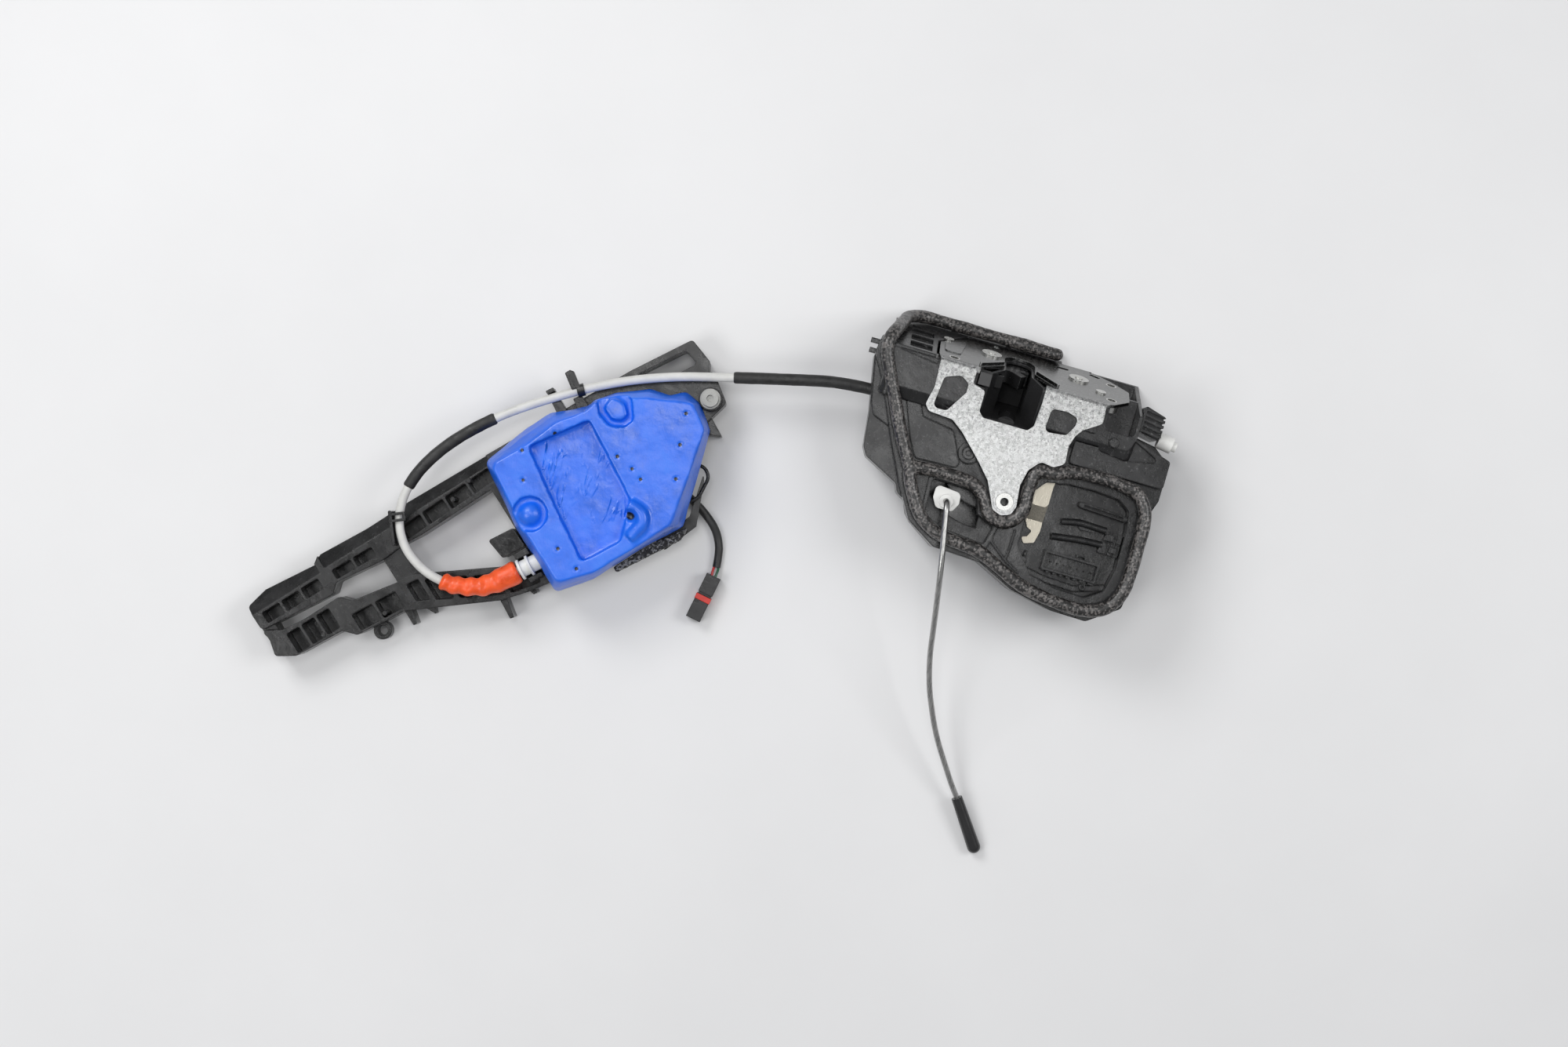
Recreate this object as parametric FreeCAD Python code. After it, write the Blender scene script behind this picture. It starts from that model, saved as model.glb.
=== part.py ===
import FreeCAD, Part
import math
import os
from functools import cache

# A car door lock: the latch with its steel frame, and the outer handle carrier that
# works it through a cable. Millimetres. The origin is the threaded hole at the tip of
# the bright frame plate, +X runs along the plate's bend, +Z leaves the plate.

V = FreeCAD.Vector
os.makedirs("parts", exist_ok=True)

# Driving sizes of the latch
table_z = -66.0            # what the parts lie on, below the plate's face
sheet = 2.0                # frame plate thickness
bend_y = 72.0              # outer corner line of the frame plate
flange_lean = 20.0         # the flange stands this many degrees off square
flange_depth = 64.0        # from the bend to the flange's far edge
wall = 2.5                 # moulded wall
tray_bottom = -46.0
tray_top = -14.0
cover_floor = 3.0
wing_top = -22.0
block_depth = 30.0         # latch block, behind the flange
ridge_top = -5.0           # what the seal bead sits on
seal_r = 4.0
seal_z = -2.0
fit = 0.05                 # running clearance on a radius
gap = 0.3                  # standing clearance between pieces

# Latch claw and pawl, in the flange's own plane
mouth_x = -11.0
mouth_half = 9.5
arch_w = 38.0
claw_x = -29.0
claw_w = 38.0
claw_r = 25.0
claw_top = -4.5
claw_thick = 8.0
claw_open = -52.0          # where the claw's slot points when open
claw_travel = 39.0
slot_r = claw_r - 7.5
slot_half = 6.5
pivot_r = 5.0
rivet_r = 4.0
column_r = 6.5             # the round rib at the back of the striker's mouth
pawl_x = 26.0
pawl_w = 38.0
pawl_meet = 30.0           # where on the claw's rim the pawl stands
tail_x = 29.0
tail_w = 14.0
tail_r = 2.5
back_h = -17.0             # front of the mechanism plate
back_thick = 2.0
cable_travel = 6.0

# Levers and gears under the cover
lever_z = -31.0
lever_thick = 3.0
lever_pin_x = -12.0
lever_pin_y = 26.0
lever_pin_r = 2.5
clip_x = -33.0
clip_y = -7.6
lever_swing = 22.0
gear_module = 1.25
sector_teeth = 76
pinion_teeth = 12
wheel_teeth = 28
motor_teeth = 12
gear_angle = -40.6         # from the lever's pin to the wheel
motor_angle = -36.4        # from the wheel to the motor
shaft_r = 2.0
motor_r = 12.0

# Outer handle carrier, in its own frame
carrier_x = -415.7
carrier_y = -199.6
carrier_turn = 48.0
rail_top = -44.0
bed_top = -44.0
cell_depth = 15.0
rib = 1.8
foam_top = -14.0
foam_wall = 4.0
crank_p = 222.0
crank_q = -38.0
crank_arm = 24.0
ear_hole_r = 3.0

# Cable and lead
cable_z = -36.0
cable_r = 2.75
sleeve_r = 3.6
core_r = 0.8
lead_r = 2.5
lead_z = table_z + lead_r

# Places worked out from the sizes above
FLANGE = FreeCAD.Placement(V(0, bend_y, 0),
                           FreeCAD.Rotation(V(1, 0, 0), flange_lean - 90.0))
SECTION = FreeCAD.Placement(V(0, 0, 0), FreeCAD.Rotation(V(1, 1, 1), 120))
CARRIER = FreeCAD.Placement(V(carrier_x, carrier_y, 0),
                            FreeCAD.Rotation(V(0, 0, 1), carrier_turn))
sector_r = gear_module * sector_teeth / 2
pinion_r = gear_module * pinion_teeth / 2
wheel_r = gear_module * wheel_teeth / 2
motor_pinion_r = gear_module * motor_teeth / 2


def polar(x, y, r, degrees):
    a = math.radians(degrees)
    return x + r * math.cos(a), y + r * math.sin(a)


wheel_x, wheel_y = polar(lever_pin_x, lever_pin_y, sector_r + pinion_r, gear_angle)
motor_x, motor_y = polar(wheel_x, wheel_y, wheel_r + motor_pinion_r, motor_angle)


def between(a, b, share):
    return tuple(a[i] + (b[i] - a[i]) * share for i in range(len(a)))


def place(shape, placement):
    moved = shape.copy()
    moved.transformShape(placement.toMatrix())
    return moved


def outline(points, radius=0.0):
    """A closed wire through the points, each corner rounded as far as its sides allow."""
    corners = [V(p[0], p[1], 0) for p in points]
    radii = [p[2] if len(p) > 2 else radius for p in points]
    count = len(corners)
    ends = []
    for i in range(count):
        before = corners[i - 1] - corners[i]
        after = corners[(i + 1) % count] - corners[i]
        half = before.getAngle(after) / 2
        reach = min(radii[i] / math.tan(half), 0.45 * before.Length, 0.45 * after.Length)
        if reach < 0.02:
            ends.append((corners[i], None, corners[i]))
            continue
        a = corners[i] + before.normalize() * reach
        b = corners[i] + after.normalize() * reach
        inward = (before + after).normalize()
        arc_r = reach * math.tan(half)
        middle = corners[i] + inward * (arc_r / math.sin(half) - arc_r)
        ends.append((a, middle, b))
    edges = []
    for i in range(count):
        a, middle, b = ends[i]
        if middle is not None:
            edges.append(Part.Arc(a, middle, b).toShape())
        start = ends[(i + 1) % count][0]
        if (start - b).Length > 1e-4:
            edges.append(Part.LineSegment(b, start).toShape())
    return Part.Wire(edges)


def prism(points, low, high, radius=0.0):
    face = Part.Face(outline(points, radius))
    face.translate(V(0, 0, low))
    return face.extrude(V(0, 0, high - low))


def box(x0, y0, z0, x1, y1, z1):
    return Part.makeBox(x1 - x0, y1 - y0, z1 - z0, V(x0, y0, z0))


def rod(x, y, r, low, high):
    return Part.makeCylinder(r, high - low, V(x, y, low), V(0, 0, 1))


def ring(x, y, r_in, r_out, low, high):
    return rod(x, y, r_out, low, high).cut(rod(x, y, r_in, low - 1, high + 1))


def fuse(*shapes):
    return shapes[0].multiFuse(list(shapes[1:])).removeSplitter()


def cut(shape, *tools):
    for tool in tools:
        shape = shape.cut(tool)
    return shape


def bar(a, b, width, low, high):
    """A flat bar with round ends, from point a to point b."""
    dx, dy = b[0] - a[0], b[1] - a[1]
    length = math.hypot(dx, dy)
    nx, ny = -dy / length * width / 2, dx / length * width / 2
    body = prism([(a[0] + nx, a[1] + ny), (b[0] + nx, b[1] + ny),
                  (b[0] - nx, b[1] - ny), (a[0] - nx, a[1] - ny)], low, high)
    return fuse(body, rod(a[0], a[1], width / 2, low, high), rod(b[0], b[1], width / 2, low, high))


def strip(path, width, low, high):
    """A flat band that follows an open path of points."""
    return fuse(*[bar(path[i], path[i + 1], width, low, high) for i in range(len(path) - 1)])


def route(points):
    """Straight runs joined by tangent arcs, each as large as its two runs allow."""
    knots = [V(*p) for p in points]
    edges = []
    radii = []
    start = knots[0]
    for i in range(1, len(knots) - 1):
        before = knots[i - 1] - knots[i]
        after = knots[i + 1] - knots[i]
        reach = 0.45 * min(before.Length, after.Length)
        half = before.getAngle(after) / 2
        arc_r = reach * math.tan(half)
        a = knots[i] + before.normalize() * reach
        b = knots[i] + after.normalize() * reach
        inward = (before + after).normalize()
        middle = knots[i] + inward * (arc_r / math.sin(half) - arc_r)
        edges.append(Part.LineSegment(start, a).toShape())
        edges.append(Part.Arc(a, middle, b).toShape())
        radii.append(arc_r)
        start = b
    edges.append(Part.LineSegment(start, knots[-1]).toShape())
    return Part.Wire(edges), radii


def tube(points, r):
    """A round cord along a route of points."""
    path, radii = route(points)
    along = V(*points[1]) - V(*points[0])
    circle = Part.Wire(Part.makeCircle(r, V(*points[0]), along))
    return path.makePipeShell([circle], True, True)


def gear(teeth, x, y, low, high, phase=0.0, first=0, last=None):
    """A spur gear, or the toothed part of a sector, with tapered teeth."""
    pitch_r = gear_module * teeth / 2
    root_r = pitch_r - 1.25 * gear_module
    tip_r = pitch_r + 0.85 * gear_module
    step = 360.0 / teeth
    last = teeth if last is None else last
    shapes = []
    for i in range(first, last):
        a = phase + i * step
        points = [polar(x, y, root_r - 0.4, a - 0.36 * step), polar(x, y, root_r, a - 0.34 * step),
                  polar(x, y, pitch_r, a - 0.215 * step), polar(x, y, tip_r, a - 0.09 * step),
                  polar(x, y, tip_r, a + 0.09 * step), polar(x, y, pitch_r, a + 0.215 * step),
                  polar(x, y, root_r, a + 0.34 * step), polar(x, y, root_r - 0.4, a + 0.36 * step)]
        shapes.append(prism(points, low, high))
    return root_r, shapes


def coil(x, y, r, wire, turns, low):
    """A close coil of wire, as one plain band."""
    return [ring(x, y, r - wire / 2, r + wire / 2, low, low + wire * turns)]


def export(name, shape):
    shape.exportStep("parts/" + name + ".step")
    print(name, len(shape.Solids), round(shape.Volume), shape.isValid())


# Shapes that several latch pieces share

housing_outline = [(-98, 66), (-94.5, 47.5), (-91.5, 32), (-89, 10), (-86, 4.5), (-64, -6.5),
                   (-62, -11.5), (-56, -15), (-53, -22), (-49, -26.5), (-33, -37), (-3.5, -38.5), (19, -49), (45, -54.5), (67, -55),
                   (85.5, -42), (88, -23.5), (85.5, 14.5), (89.5, 26), (89.5, 50), (80, 57.5),
                   (66, 60), (64, 72), (-90, 72)]
cover_outline = [(-96, 79), (-98, 66), (-88, 48), (-74, 17), (-62, -7), (-51, -26), (-33, -37),
                 (-3.5, -38.5), (19, -49), (45, -54.5), (67, -55), (85.5, -42), (88, -23.5),
                 (85.5, 14.5), (89.5, 26), (89.5, 50), (66, 58), (43, 58), (43, 60.5), (-58, 60.5),
                 (-60, 79)]
seal_loop = [(-60.5, 5.5), (-56, -6), (-46, -22), (-34.5, -29), (-20.5, -31), (-7, -31.5),
             (7.5, -38), (23, -45.5), (43, -49), (64, -49.5), (77, -44), (83, -33), (84, -18),
             (84, 3), (83, 17), (77, 26), (66, 29), (50.5, 29.5), (34.5, 28.5), (23, 23.5),
             (14, 24.5), (11.8, 13), (13, -3), (5.5, -12.5), (-7, -11), (-12, -0.5), (-20, 5.8),
             (-38, 6.8)]
seal_side = [(-60.5, 5.5), (-68.5, 19), (-82.5, 48), (-91, 66), (-92.5, 74)]
mouth_notch = [(-37, 90), (-37, 62.5), (-29, 60), (-29, 47.5), (-26, 44.5), (1.5, 44.5),
               (4.5, 48), (5.5, 62), (5.5, 90)]
clip_window = [(-44, 2.5), (-43, -19.5), (-30, -25), (-4, -27.5), (-1, -16), (-12.5, -11),
               (-16, 1.5)]
tub = [(14.0, -6), (14.2, 12), (20.5, 20.5), (36, 23.5), (52, 24), (68, 22.5), (76.5, 17), (78, 3),
       (78, -20), (75, -36), (64, -43.5), (44, -43), (26, -39), (14.2, -24)]
tub_floor = -24.0
recess_outline = [(-46.5, 4), (-45.5, -21), (-30.5, -27), (-2.5, -29.5), (1.0, -15), (-11, -9.5),
                  (-14.5, 3.5)]


def flange_shape(low, high):
    return prism([(-59.6, 0), (-61, 10), (-61, 36), (-41, flange_depth - 1), (34, flange_depth),
                  (47, 54), (58, 41), (57.5, 20), (48, 5), (42.4, 0)], low, high, 3.0)


def mouth_shape(half, spread, low, high, top=-6.0):
    """The striker's way in, a funnel at the bend and a round arch at its end."""
    funnel = prism([(mouth_x - half - spread, top), (mouth_x - half - spread, 5),
                    (mouth_x - half, 22), (mouth_x - half, arch_w), (mouth_x + half, arch_w),
                    (mouth_x + half, 22), (mouth_x + half + spread - 1.5, 5),
                    (mouth_x + half + spread - 1.5, top)], low, high)
    return fuse(funnel, rod(mouth_x, arch_w, half, low, high))


@cache
def latch_plate():
    """Sheet steel, bent once; both faces are cut from the bent band."""
    lean = math.radians(flange_lean)
    far = (bend_y + 90 * math.sin(lean), -90 * math.cos(lean))
    back = (far[0] - sheet * math.cos(lean), far[1] - sheet * math.sin(lean))
    inner_y = bend_y - sheet * (1 - math.sin(lean)) / math.cos(lean)
    band = prism([(-30, 0), (bend_y, 0, 3.5), far, back, (inner_y, -sheet, 1.5), (-30, -sheet)],
                 -70, 70)
    band = place(band, SECTION)
    face = prism([(-59.6, bend_y + 4), (-58.5, 54.5), (-61, 43), (-58, 39.5), (-43, 38.5),
                  (-35.5, 33), (-21.5, 19), (-13, 9.5), (-7.8, -1.5), (-5.6, -6.4), (0, -8.4),
                  (5.6, -6.4), (7.6, -1), (6.2, 12), (8.5, 22), (14.5, 28.7), (22.5, 27.7),
                  (28.4, 31.4), (27.6, 42), (29.7, 49), (33, 53.5), (43.5, 60.5),
                  (42.4, bend_y + 4)], -sheet - 3, 1, 3.5)
    left_window = prism([(-54.5, 61.5), (-45, 65), (-39.5, 61.5), (-39.5, 56), (-48, 42.5),
                         (-56.5, 42.5)], -9, 9, 3.0)
    right_window = prism([(12, 61), (22, 61.5), (28.5, 59.5), (28, 54.5), (24.5, 48), (11, 46.5)],
                         -9, 9, 3.0)
    flange = flange_shape(-sheet - 1, 1)
    slots = [prism([(12, 52), (20, 52), (20, 55.5), (12, 55.5)], -9, 9, 1.5),
             prism([(33, 56), (39, 53), (40.5, 56), (34.5, 59)], -9, 9, 1.0)]
    flange = cut(flange, mouth_shape(mouth_half, 14.5, -9, 9), *slots)
    for x, w in [(claw_x, claw_w), (pawl_x, pawl_w)]:
        flange = flange.cut(rod(x, w, rivet_r + fit, -9, 9))
    for x, w in frame_rivet_places:
        flange = flange.cut(rod(x, w, 2.0 + fit, -9, 9))
    for x, w in flange_screw_places:
        flange = flange.cut(rod(x, w, thread_r + 1.0, -9, 9))
    flange = cut(flange, rod(-26.2, 58.5, 2.6, -0.9, 9), rod(34.6, 62.0, 1.3, -9, 9))
    face = cut(face, left_window, right_window, prism(mouth_notch, -9, 9, 2.0),
               rod(0, 0, 4.0, -9, 9))
    plate = band.common(fuse(face, place(flange, FLANGE)))
    pad = prism([(-58, 34), (-58, 20), (-56, 18), (-48, 18), (-44, 52)], -0.5, 0.6, 2.0)
    lips = [strip([(-35.4, 7.0), (-28.5, 14.9), (-22.0, 22.6)], 1.8, -0.5, 2.2),
            strip([(12.2, 6.8), (5.8, 14.6), (-0.2, 22.2)], 1.8, -0.5, 2.2)]
    stud = ring(23, 31.8, 0.9, 1.8, -0.5, 0.5)
    collar = ring(0, 0, 5.3, 6.6, -0.5, 0.35)
    return fuse(plate, stud, collar, *[place(lip, FLANGE) for lip in [pad, *lips]])


thread_r = 2.5             # M6 thread, at its core
nut_r = 5.8
nut_half = 5.0              # the flange nuts' radius
screw_depth = 12.0          # room for a screw's end behind the flange
flange_screw_places = [(-51.5, 8.5), (47, 46), (46, 13)]
frame_rivet_places = [(-56.3, 44.5), (39.5, 23)]


def plate_nut():
    nut = fuse(rod(0, 0, nut_r, -8, -sheet), rod(0, 0, 4.0 - fit, -sheet, 0.0),
               ring(0, 0, 3.2, 5.2, 0.0, 0.6))
    return nut.cut(rod(0, 0, thread_r, -9, 2))


@cache
def flange_nuts():
    nuts = []
    for x, w in flange_screw_places:
        nut = fuse(rod(x, w, nut_half, -6.5, -sheet), rod(x, w, thread_r + 1.0 - fit, -sheet, 0))
        nuts.append(place(nut.cut(rod(x, w, thread_r, -9, 2)), FLANGE))
    return Part.makeCompound(nuts)


def under_flange(shape):
    """Keep what is behind the flange's back face and above the table."""
    keep = place(box(-120, -150, -200, 120, 150, -sheet), FLANGE)
    return shape.common(keep).common(box(-150, -150, table_z, 150, 150, 50))


@cache
def claw_room():
    room = rod(claw_x, claw_w, claw_r + 0.8, claw_top - claw_thick - 0.6, claw_top + 0.6)
    return place(room, FLANGE)


def latch_housing():
    tray = prism(housing_outline, tray_bottom, wing_top, 4.0)
    rim = prism(cover_outline, wing_top - 1, tray_top, 4.0)
    block = place(prism([(-90, -4), (-90, 80), (66, 80), (66, -4)], -block_depth, -sheet, 5.0),
                  FLANGE)
    block = block.common(box(-150, -150, -100, 150, 150, -4))
    corner = prism([(43.2, 56), (66, 56), (66, 100), (43.2, 100)], -60, -4)
    motor_dome = rod(motor_x, motor_y, motor_r + 3.0, table_z, tray_bottom + 1)
    foot = prism([(-84, 6), (-70, 0), (-60, 20), (-74, 26)], table_z, tray_bottom + 1, 4.0)
    upper_wing = prism([(-97, 64.5), (-91.5, 36), (-88.5, 29.5), (-74, 24), (-84, 48),
                        (-93, 66)], wing_top - 1, wing_top + 4.5, 1.5)
    prongs = [box(-101.5, 66, -34, -94, 69, -30), box(-102, 72, -34, -88, 75, -30)]
    outer = under_flange(fuse(tray, rim, block, motor_dome, foot, corner, upper_wing, *prongs))
    inner_tray = prism([(-88, 66), (-87.5, 44), (-86, 14), (-83, 7), (-63.5, -5), (-49, -22.5),
                        (-32, -33.5), (-3.5, -35), (19, -45.5), (45, -51.5), (66, -52),
                        (82.5, -40), (85, -23), (82.5, 15), (86.5, 27), (86.5, 48), (78, 54.5),
                        (63, 57), (63, 66)], tray_bottom + wall, wing_top - wall, 3.0)
    inner_rim = prism([(-85, 66), (-84, 48), (-70.5, 17), (-60, -4), (-49, -22.5), (-32, -33.5),
                       (-3.5, -35), (19, -45.5), (45, -51.5), (66, -52), (82.5, -40), (85, -23),
                       (82.5, 15), (86.5, 27), (86.5, 48), (64, 55), (40, 55), (40, 66)],
                      wing_top - wall - 1, tray_top + 5, 3.0)
    inner_block = place(prism([(-87.5, 0), (-87.5, 90), (63.5, 90), (63.5, 0)],
                              -block_depth + wall, 5, 4.0), FLANGE)
    inner_block = inner_block.common(box(-150, -150, table_z + wall, 150, 150, -8))
    dome_hollow = rod(motor_x, motor_y, motor_r + 0.5, table_z + wall, tray_bottom + wall + 1)
    cup = prism([(45.5, 58), (64, 58), (64, 90), (45.5, 90)], -30, 0, 3.0)
    hollow = cut(fuse(inner_tray, inner_rim, inner_block, dome_hollow),
                 prism([(43.2, 55.8), (67, 55.8), (67, 100), (43.2, 100)], -32.5, 5))
    shell = cut(outer, hollow, cup)
    bosses = [rod(screw_x, screw_y, 4.2, tray_bottom + 1, tray_top),
              rod(lever_pin_x, lever_pin_y, 5.0, tray_bottom + 1, lever_z - 0.2),
              rod(hook_pin_x, hook_pin_y, 5.0, tray_bottom + 1, -17.2),
              rod(wheel_x, wheel_y, 4.5, tray_bottom + 1, -37.4)]
    ledge = prism([(-88, flange_depth + 0.3), (16, flange_depth + 0.3), (16, 80), (-88, 80)],
                  -4, -0.1)
    side_frame = prism([(-88, 3), (-62.5, 3), (-62.5, 37), (-44, flange_depth + 1), (-44, 80),
                        (-88, 80)], -4, -0.1, 2.0)
    side_cells = [prism([(-79, a), (-65.5, a), (-65.5, a + 12), (-79, a + 12)], -3, 1, 1.0)
                  for a in (8, 23, 38)]
    side_cells += [prism([(a, 66), (b, 66), (b, 76), (a, 76)], -3.5, 1, 1.0)
                   for a, b in ((-84, -55), (-51, -20), (-17, 12))]
    frame_edge = place(cut(fuse(ledge, side_frame), *side_cells), FLANGE)
    frame_edge = frame_edge.common(box(-150, -150, table_z, 150, 150, -4.2))
    shell = fuse(shell, frame_edge, *bosses)
    holes = [rod(screw_x, screw_y, 1.5, tray_bottom + 4, 0),
             rod(lever_pin_x, lever_pin_y, lever_pin_r, tray_bottom + 1, 0),
             rod(hook_pin_x, hook_pin_y, hook_pin_r, tray_bottom + 1, 0),
             rod(wheel_x, wheel_y, shaft_r, tray_bottom + 1, 0)]
    liner_hull = place(mouth_shape(mouth_half + 0.5, 8.5, -block_depth, 9, -12.0), FLANGE)
    screw_rooms = [place(rod(x, w, nut_half + fit, -screw_depth, 0), FLANGE)
                   for x, w in flange_screw_places]
    entry = tube(cable_points[:3], sleeve_r + fit)
    lug_room = box(-35, 62.4, -9.4, -27, 71, 5)
    return cut(shell, liner_hull, lug_room, entry, claw_room(), latch_cover(), latch_seal(),
               back_plate(), frame_rivets(), *screw_rooms, *holes)


screw_x = -27.7
screw_y = 22.4
hook_pin_x = 22.0
hook_pin_y = 34.0
hook_pin_r = 2.5


@cache
def latch_cover():
    floor = prism(cover_outline, tray_top, tray_top + cover_floor, 4.0)
    seat = strip(seal_loop + seal_loop[:1], 4.6, tray_top + 1, ridge_top)
    side_seat = strip(seal_side, 4.6, tray_top + 1, ridge_top)
    right_panel = prism([(31, 33), (89, 33), (89, 50), (66, 57.5), (44, 57.5), (31, 52)],
                        tray_top + 1, -5, 2.0)
    left_panel = prism([(-78, 58), (-70, 60), (-60, 36), (-40, 33), (-30, 12), (-58, 11),
                        (-64, 22)], tray_top + 1, -9, 3.0)
    edge_strip = prism([(-84, 77.5), (-84, 71), (-60, 68), (-60, 74)], tray_top + 1, -4, 1.0)
    tip_boss = rod(0, 0, 7.4, tray_top + 1, -sheet)
    back_bars = [box(-38.5, 42, tray_top + 1, -30, 59, -sheet),
                 box(6.5, 46, tray_top + 1, 10, 60, -sheet),
                 box(31, 54, tray_top + 1, 41, 60, -sheet),
                 prism([(-29, 42), (-26, 33), (-12, 20), (-5, 20), (8, 33), (8, 42)],
                       tray_top + 1, -sheet, 2.0)]
    window_frame = [strip([(-55.5, 53), (-47, 44.5)], 1.6, tray_top + 1, -5.5),
                    strip([(-56.5, 47.5), (-47, 46)], 1.4, tray_top + 1, -7),
                    strip([(-50.5, 47), (-51.5, 43)], 1.2, tray_top + 1, -7)]
    wing_ribs = [strip([(-86.2, 69), (-75.7, 68.5), (-68.3, 64.9), (-60.9, 58.1)], 2.2,
                       tray_top + 1, -7.5),
                 strip([(-82.5, 67), (-81.0, 51)], 1.2, tray_top + 1, -9.8),
                 strip([(-75.1, 66), (-76.6, 46.1)], 1.2, tray_top + 1, -9.8)]
    web_ribs = [strip([(-1.0, -15), (-0.2, -24.5), (10.6, -33), (20, -38.0)], 1.3,
                      tray_top + 1, -9.8),
                strip([(11.6, -14.5), (11.4, -26), (10.6, -33)], 1.3, tray_top + 1, -9.8)]
    screw_lug = rod(screw_x, screw_y, 6.4, tray_top + 1, -6.8)
    tub_outer = prism(tub, tub_floor - 2.0, tray_top + 1, 5.0)
    peg = rod(53.3, 51.6, 2.9, -9, -1)
    rim = prism([(-46.5, 4.2), (-45.5, -21.5), (-30.5, -27.3), (-2, -30), (1.5, -14.5),
                 (-10, -9.5), (-13.8, 4)], tray_top + 1, -9.8, 2.0)
    pin_boss = rod(lever_pin_x, lever_pin_y, 4.5, lever_z + lever_thick + 0.2, tray_top + 1)
    peg_recess = prism([(43, 53), (46, 57.8), (62, 57.8), (74, 52.5), (84, 47.5), (62, 43),
                        (46, 45)], -8, 0, 2.0)
    body = fuse(floor, seat, side_seat, right_panel.cut(peg_recess), left_panel, edge_strip,
                tip_boss, rim, pin_boss, tub_outer, peg, screw_lug, *back_bars, *window_frame,
                *wing_ribs, *web_ribs)
    tub_inner = prism([(15.8, -6), (15.9, 11), (22, 18.5), (36, 21.2), (52, 21.7), (67, 20.5),
                       (74.3, 15.5), (76, 3), (76, -20), (73, -34.5), (63, -41.5), (44, -41),
                       (27, -37), (15.9, -22.5)], tub_floor, 5, 4.0)
    window = prism(clip_window, -40, 0, 2.0)
    screw_hole = fuse(rod(screw_x, screw_y, 1.8, -40, 5), rod(screw_x, screw_y, 3.9, -12.5, 5))
    hook_slot = box(12.5, 3, -18.2, 40, 30, tray_top)
    body = cut(body, tub_inner, window, screw_hole, prism(mouth_notch, -40, 9, 2.0),
               rod(0, 0, nut_r + fit, -8, 9), rod(0, 0, 3.5, -12, 0), hook_slot,
               rod(lever_pin_x, lever_pin_y, lever_pin_r, -60, -18))
    liner_space = place(mouth_shape(mouth_half + 0.8, 9.0, -31, -1.5, -20), FLANGE)
    body = under_flange(body.cut(liner_space))
    groove = bar((48.5, 11.4), (72, 10.4), 1.1, -15.5, 0)
    fittings = [bar((46.4, 11.6), (73.5, 10.3), 3.4, tub_floor - 1, -14).cut(groove),
                strip([(23.5, -34.8), (38, -37.4), (56, -38.2), (73, -32.8)], 3.4,
                      tub_floor - 1, -20.5),
                ring(60.6, -35.8, 0.9, 2.0, tub_floor - 1, -17.5),
                rod(21.8, -29.6, 2.2, tub_floor - 1, -15.5),
                bar((21.8, -29.6), (22.6, -24.5), 1.6, tub_floor - 1, -18)]
    return fuse(body, recess_floor(), *fittings).cut(latch_seal())


def recess_floor():
    """The clip window's floor, with the arc slot that the lock lever's post swings in."""
    pin = (lever_pin_x, lever_pin_y)
    reach = math.hypot(clip_x - lever_pin_x, clip_y - lever_pin_y)
    heading = math.degrees(math.atan2(clip_y - lever_pin_y, clip_x - lever_pin_x))
    fan = prism([pin, polar(*pin, 90, heading - 12), polar(*pin, 90, heading + lever_swing + 12)],
                -40, 0)
    slot = ring(*pin, reach - 6.5, reach + 5.5, -39, -1).common(fan)
    floor = prism(recess_outline, tray_top - 9.5, tray_top - 7.5, 2.0)
    skirt = cut(prism(recess_outline, tray_top - 8.5, tray_top + 0.5, 2.0),
                prism(clip_window, -40, 0, 2.0))
    return fuse(floor.cut(slot), skirt)


def cable_guides():
    """Two ribbed guides in the tub, which meet in a notched block."""
    block = cut(prism([(63, -13), (66, 0.5), (75.5, 0.5), (75.6, -13.5)], tub_floor, -16.5, 1.0),
                box(68, -20, -19, 69.2, 5, 0), box(71.5, -20, -19, 72.7, 5, 0),
                box(60, -6.2, -18.5, 80, -5.2, 0))
    cheeks = [box(66, -5, tub_floor, 70.5, -1, -15), box(69.5, -11.5, tub_floor, 74.5, -8, -15)]
    upper = strip([(44, 0.2), (48.3, 1.2), (66, 0.6)], 4.0, tub_floor, -18)
    lower = strip([(44, -9.8), (51.4, -8.8), (66, -8.2)], 4.0, tub_floor, -18)
    rounds = [tube([(38, -1.2, -17.8), (48.3, 1.2, -17.8), (65, 0.6, -17.8)], 2.05),
              tube([(34.5, -11.3, -17.8), (51.4, -8.8, -17.8), (65, -8.3, -17.8)], 2.05)]
    gusset = prism([(48, -1), (56, 2.4), (60, -2.5), (50, -3)], tub_floor, -18, 1.0)
    return fuse(block, upper, lower, gusset, *cheeks, *rounds)


@cache
def latch_seal():
    """Foam rubber: a closed loop on the face and a branch that turns down beside the flange."""
    loop_path = outline(seal_loop, 1000.0)
    loop_path.translate(V(0, 0, seal_z))
    first = loop_path.OrderedEdges[0]
    circle = Part.Wire(Part.makeCircle(seal_r, first.valueAt(first.FirstParameter),
                                       first.tangentAt(first.FirstParameter)))
    loop = loop_path.makePipeShell([circle], True, True)
    side = [(x, y, seal_z) for x, y in seal_side]
    side += [(-90, 80, -6), (-86.5, 87.5, -26), (-84, 95, -50), (-74, 98.7, -59.5),
             (-52, 98.7, -60.5), (11.5, 98.7, -60.5)]
    branch = tube(side, seal_r)
    rounded_end = Part.makeSphere(seal_r, V(*side[-1]))
    above = box(-150, -150, ridge_top, 150, 78, 20)
    flat = fuse(loop, branch).common(fuse(above, box(-150, 77, table_z, 150, 150, 20)))
    return fuse(flat, rounded_end).cut(latch_plate())


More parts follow.
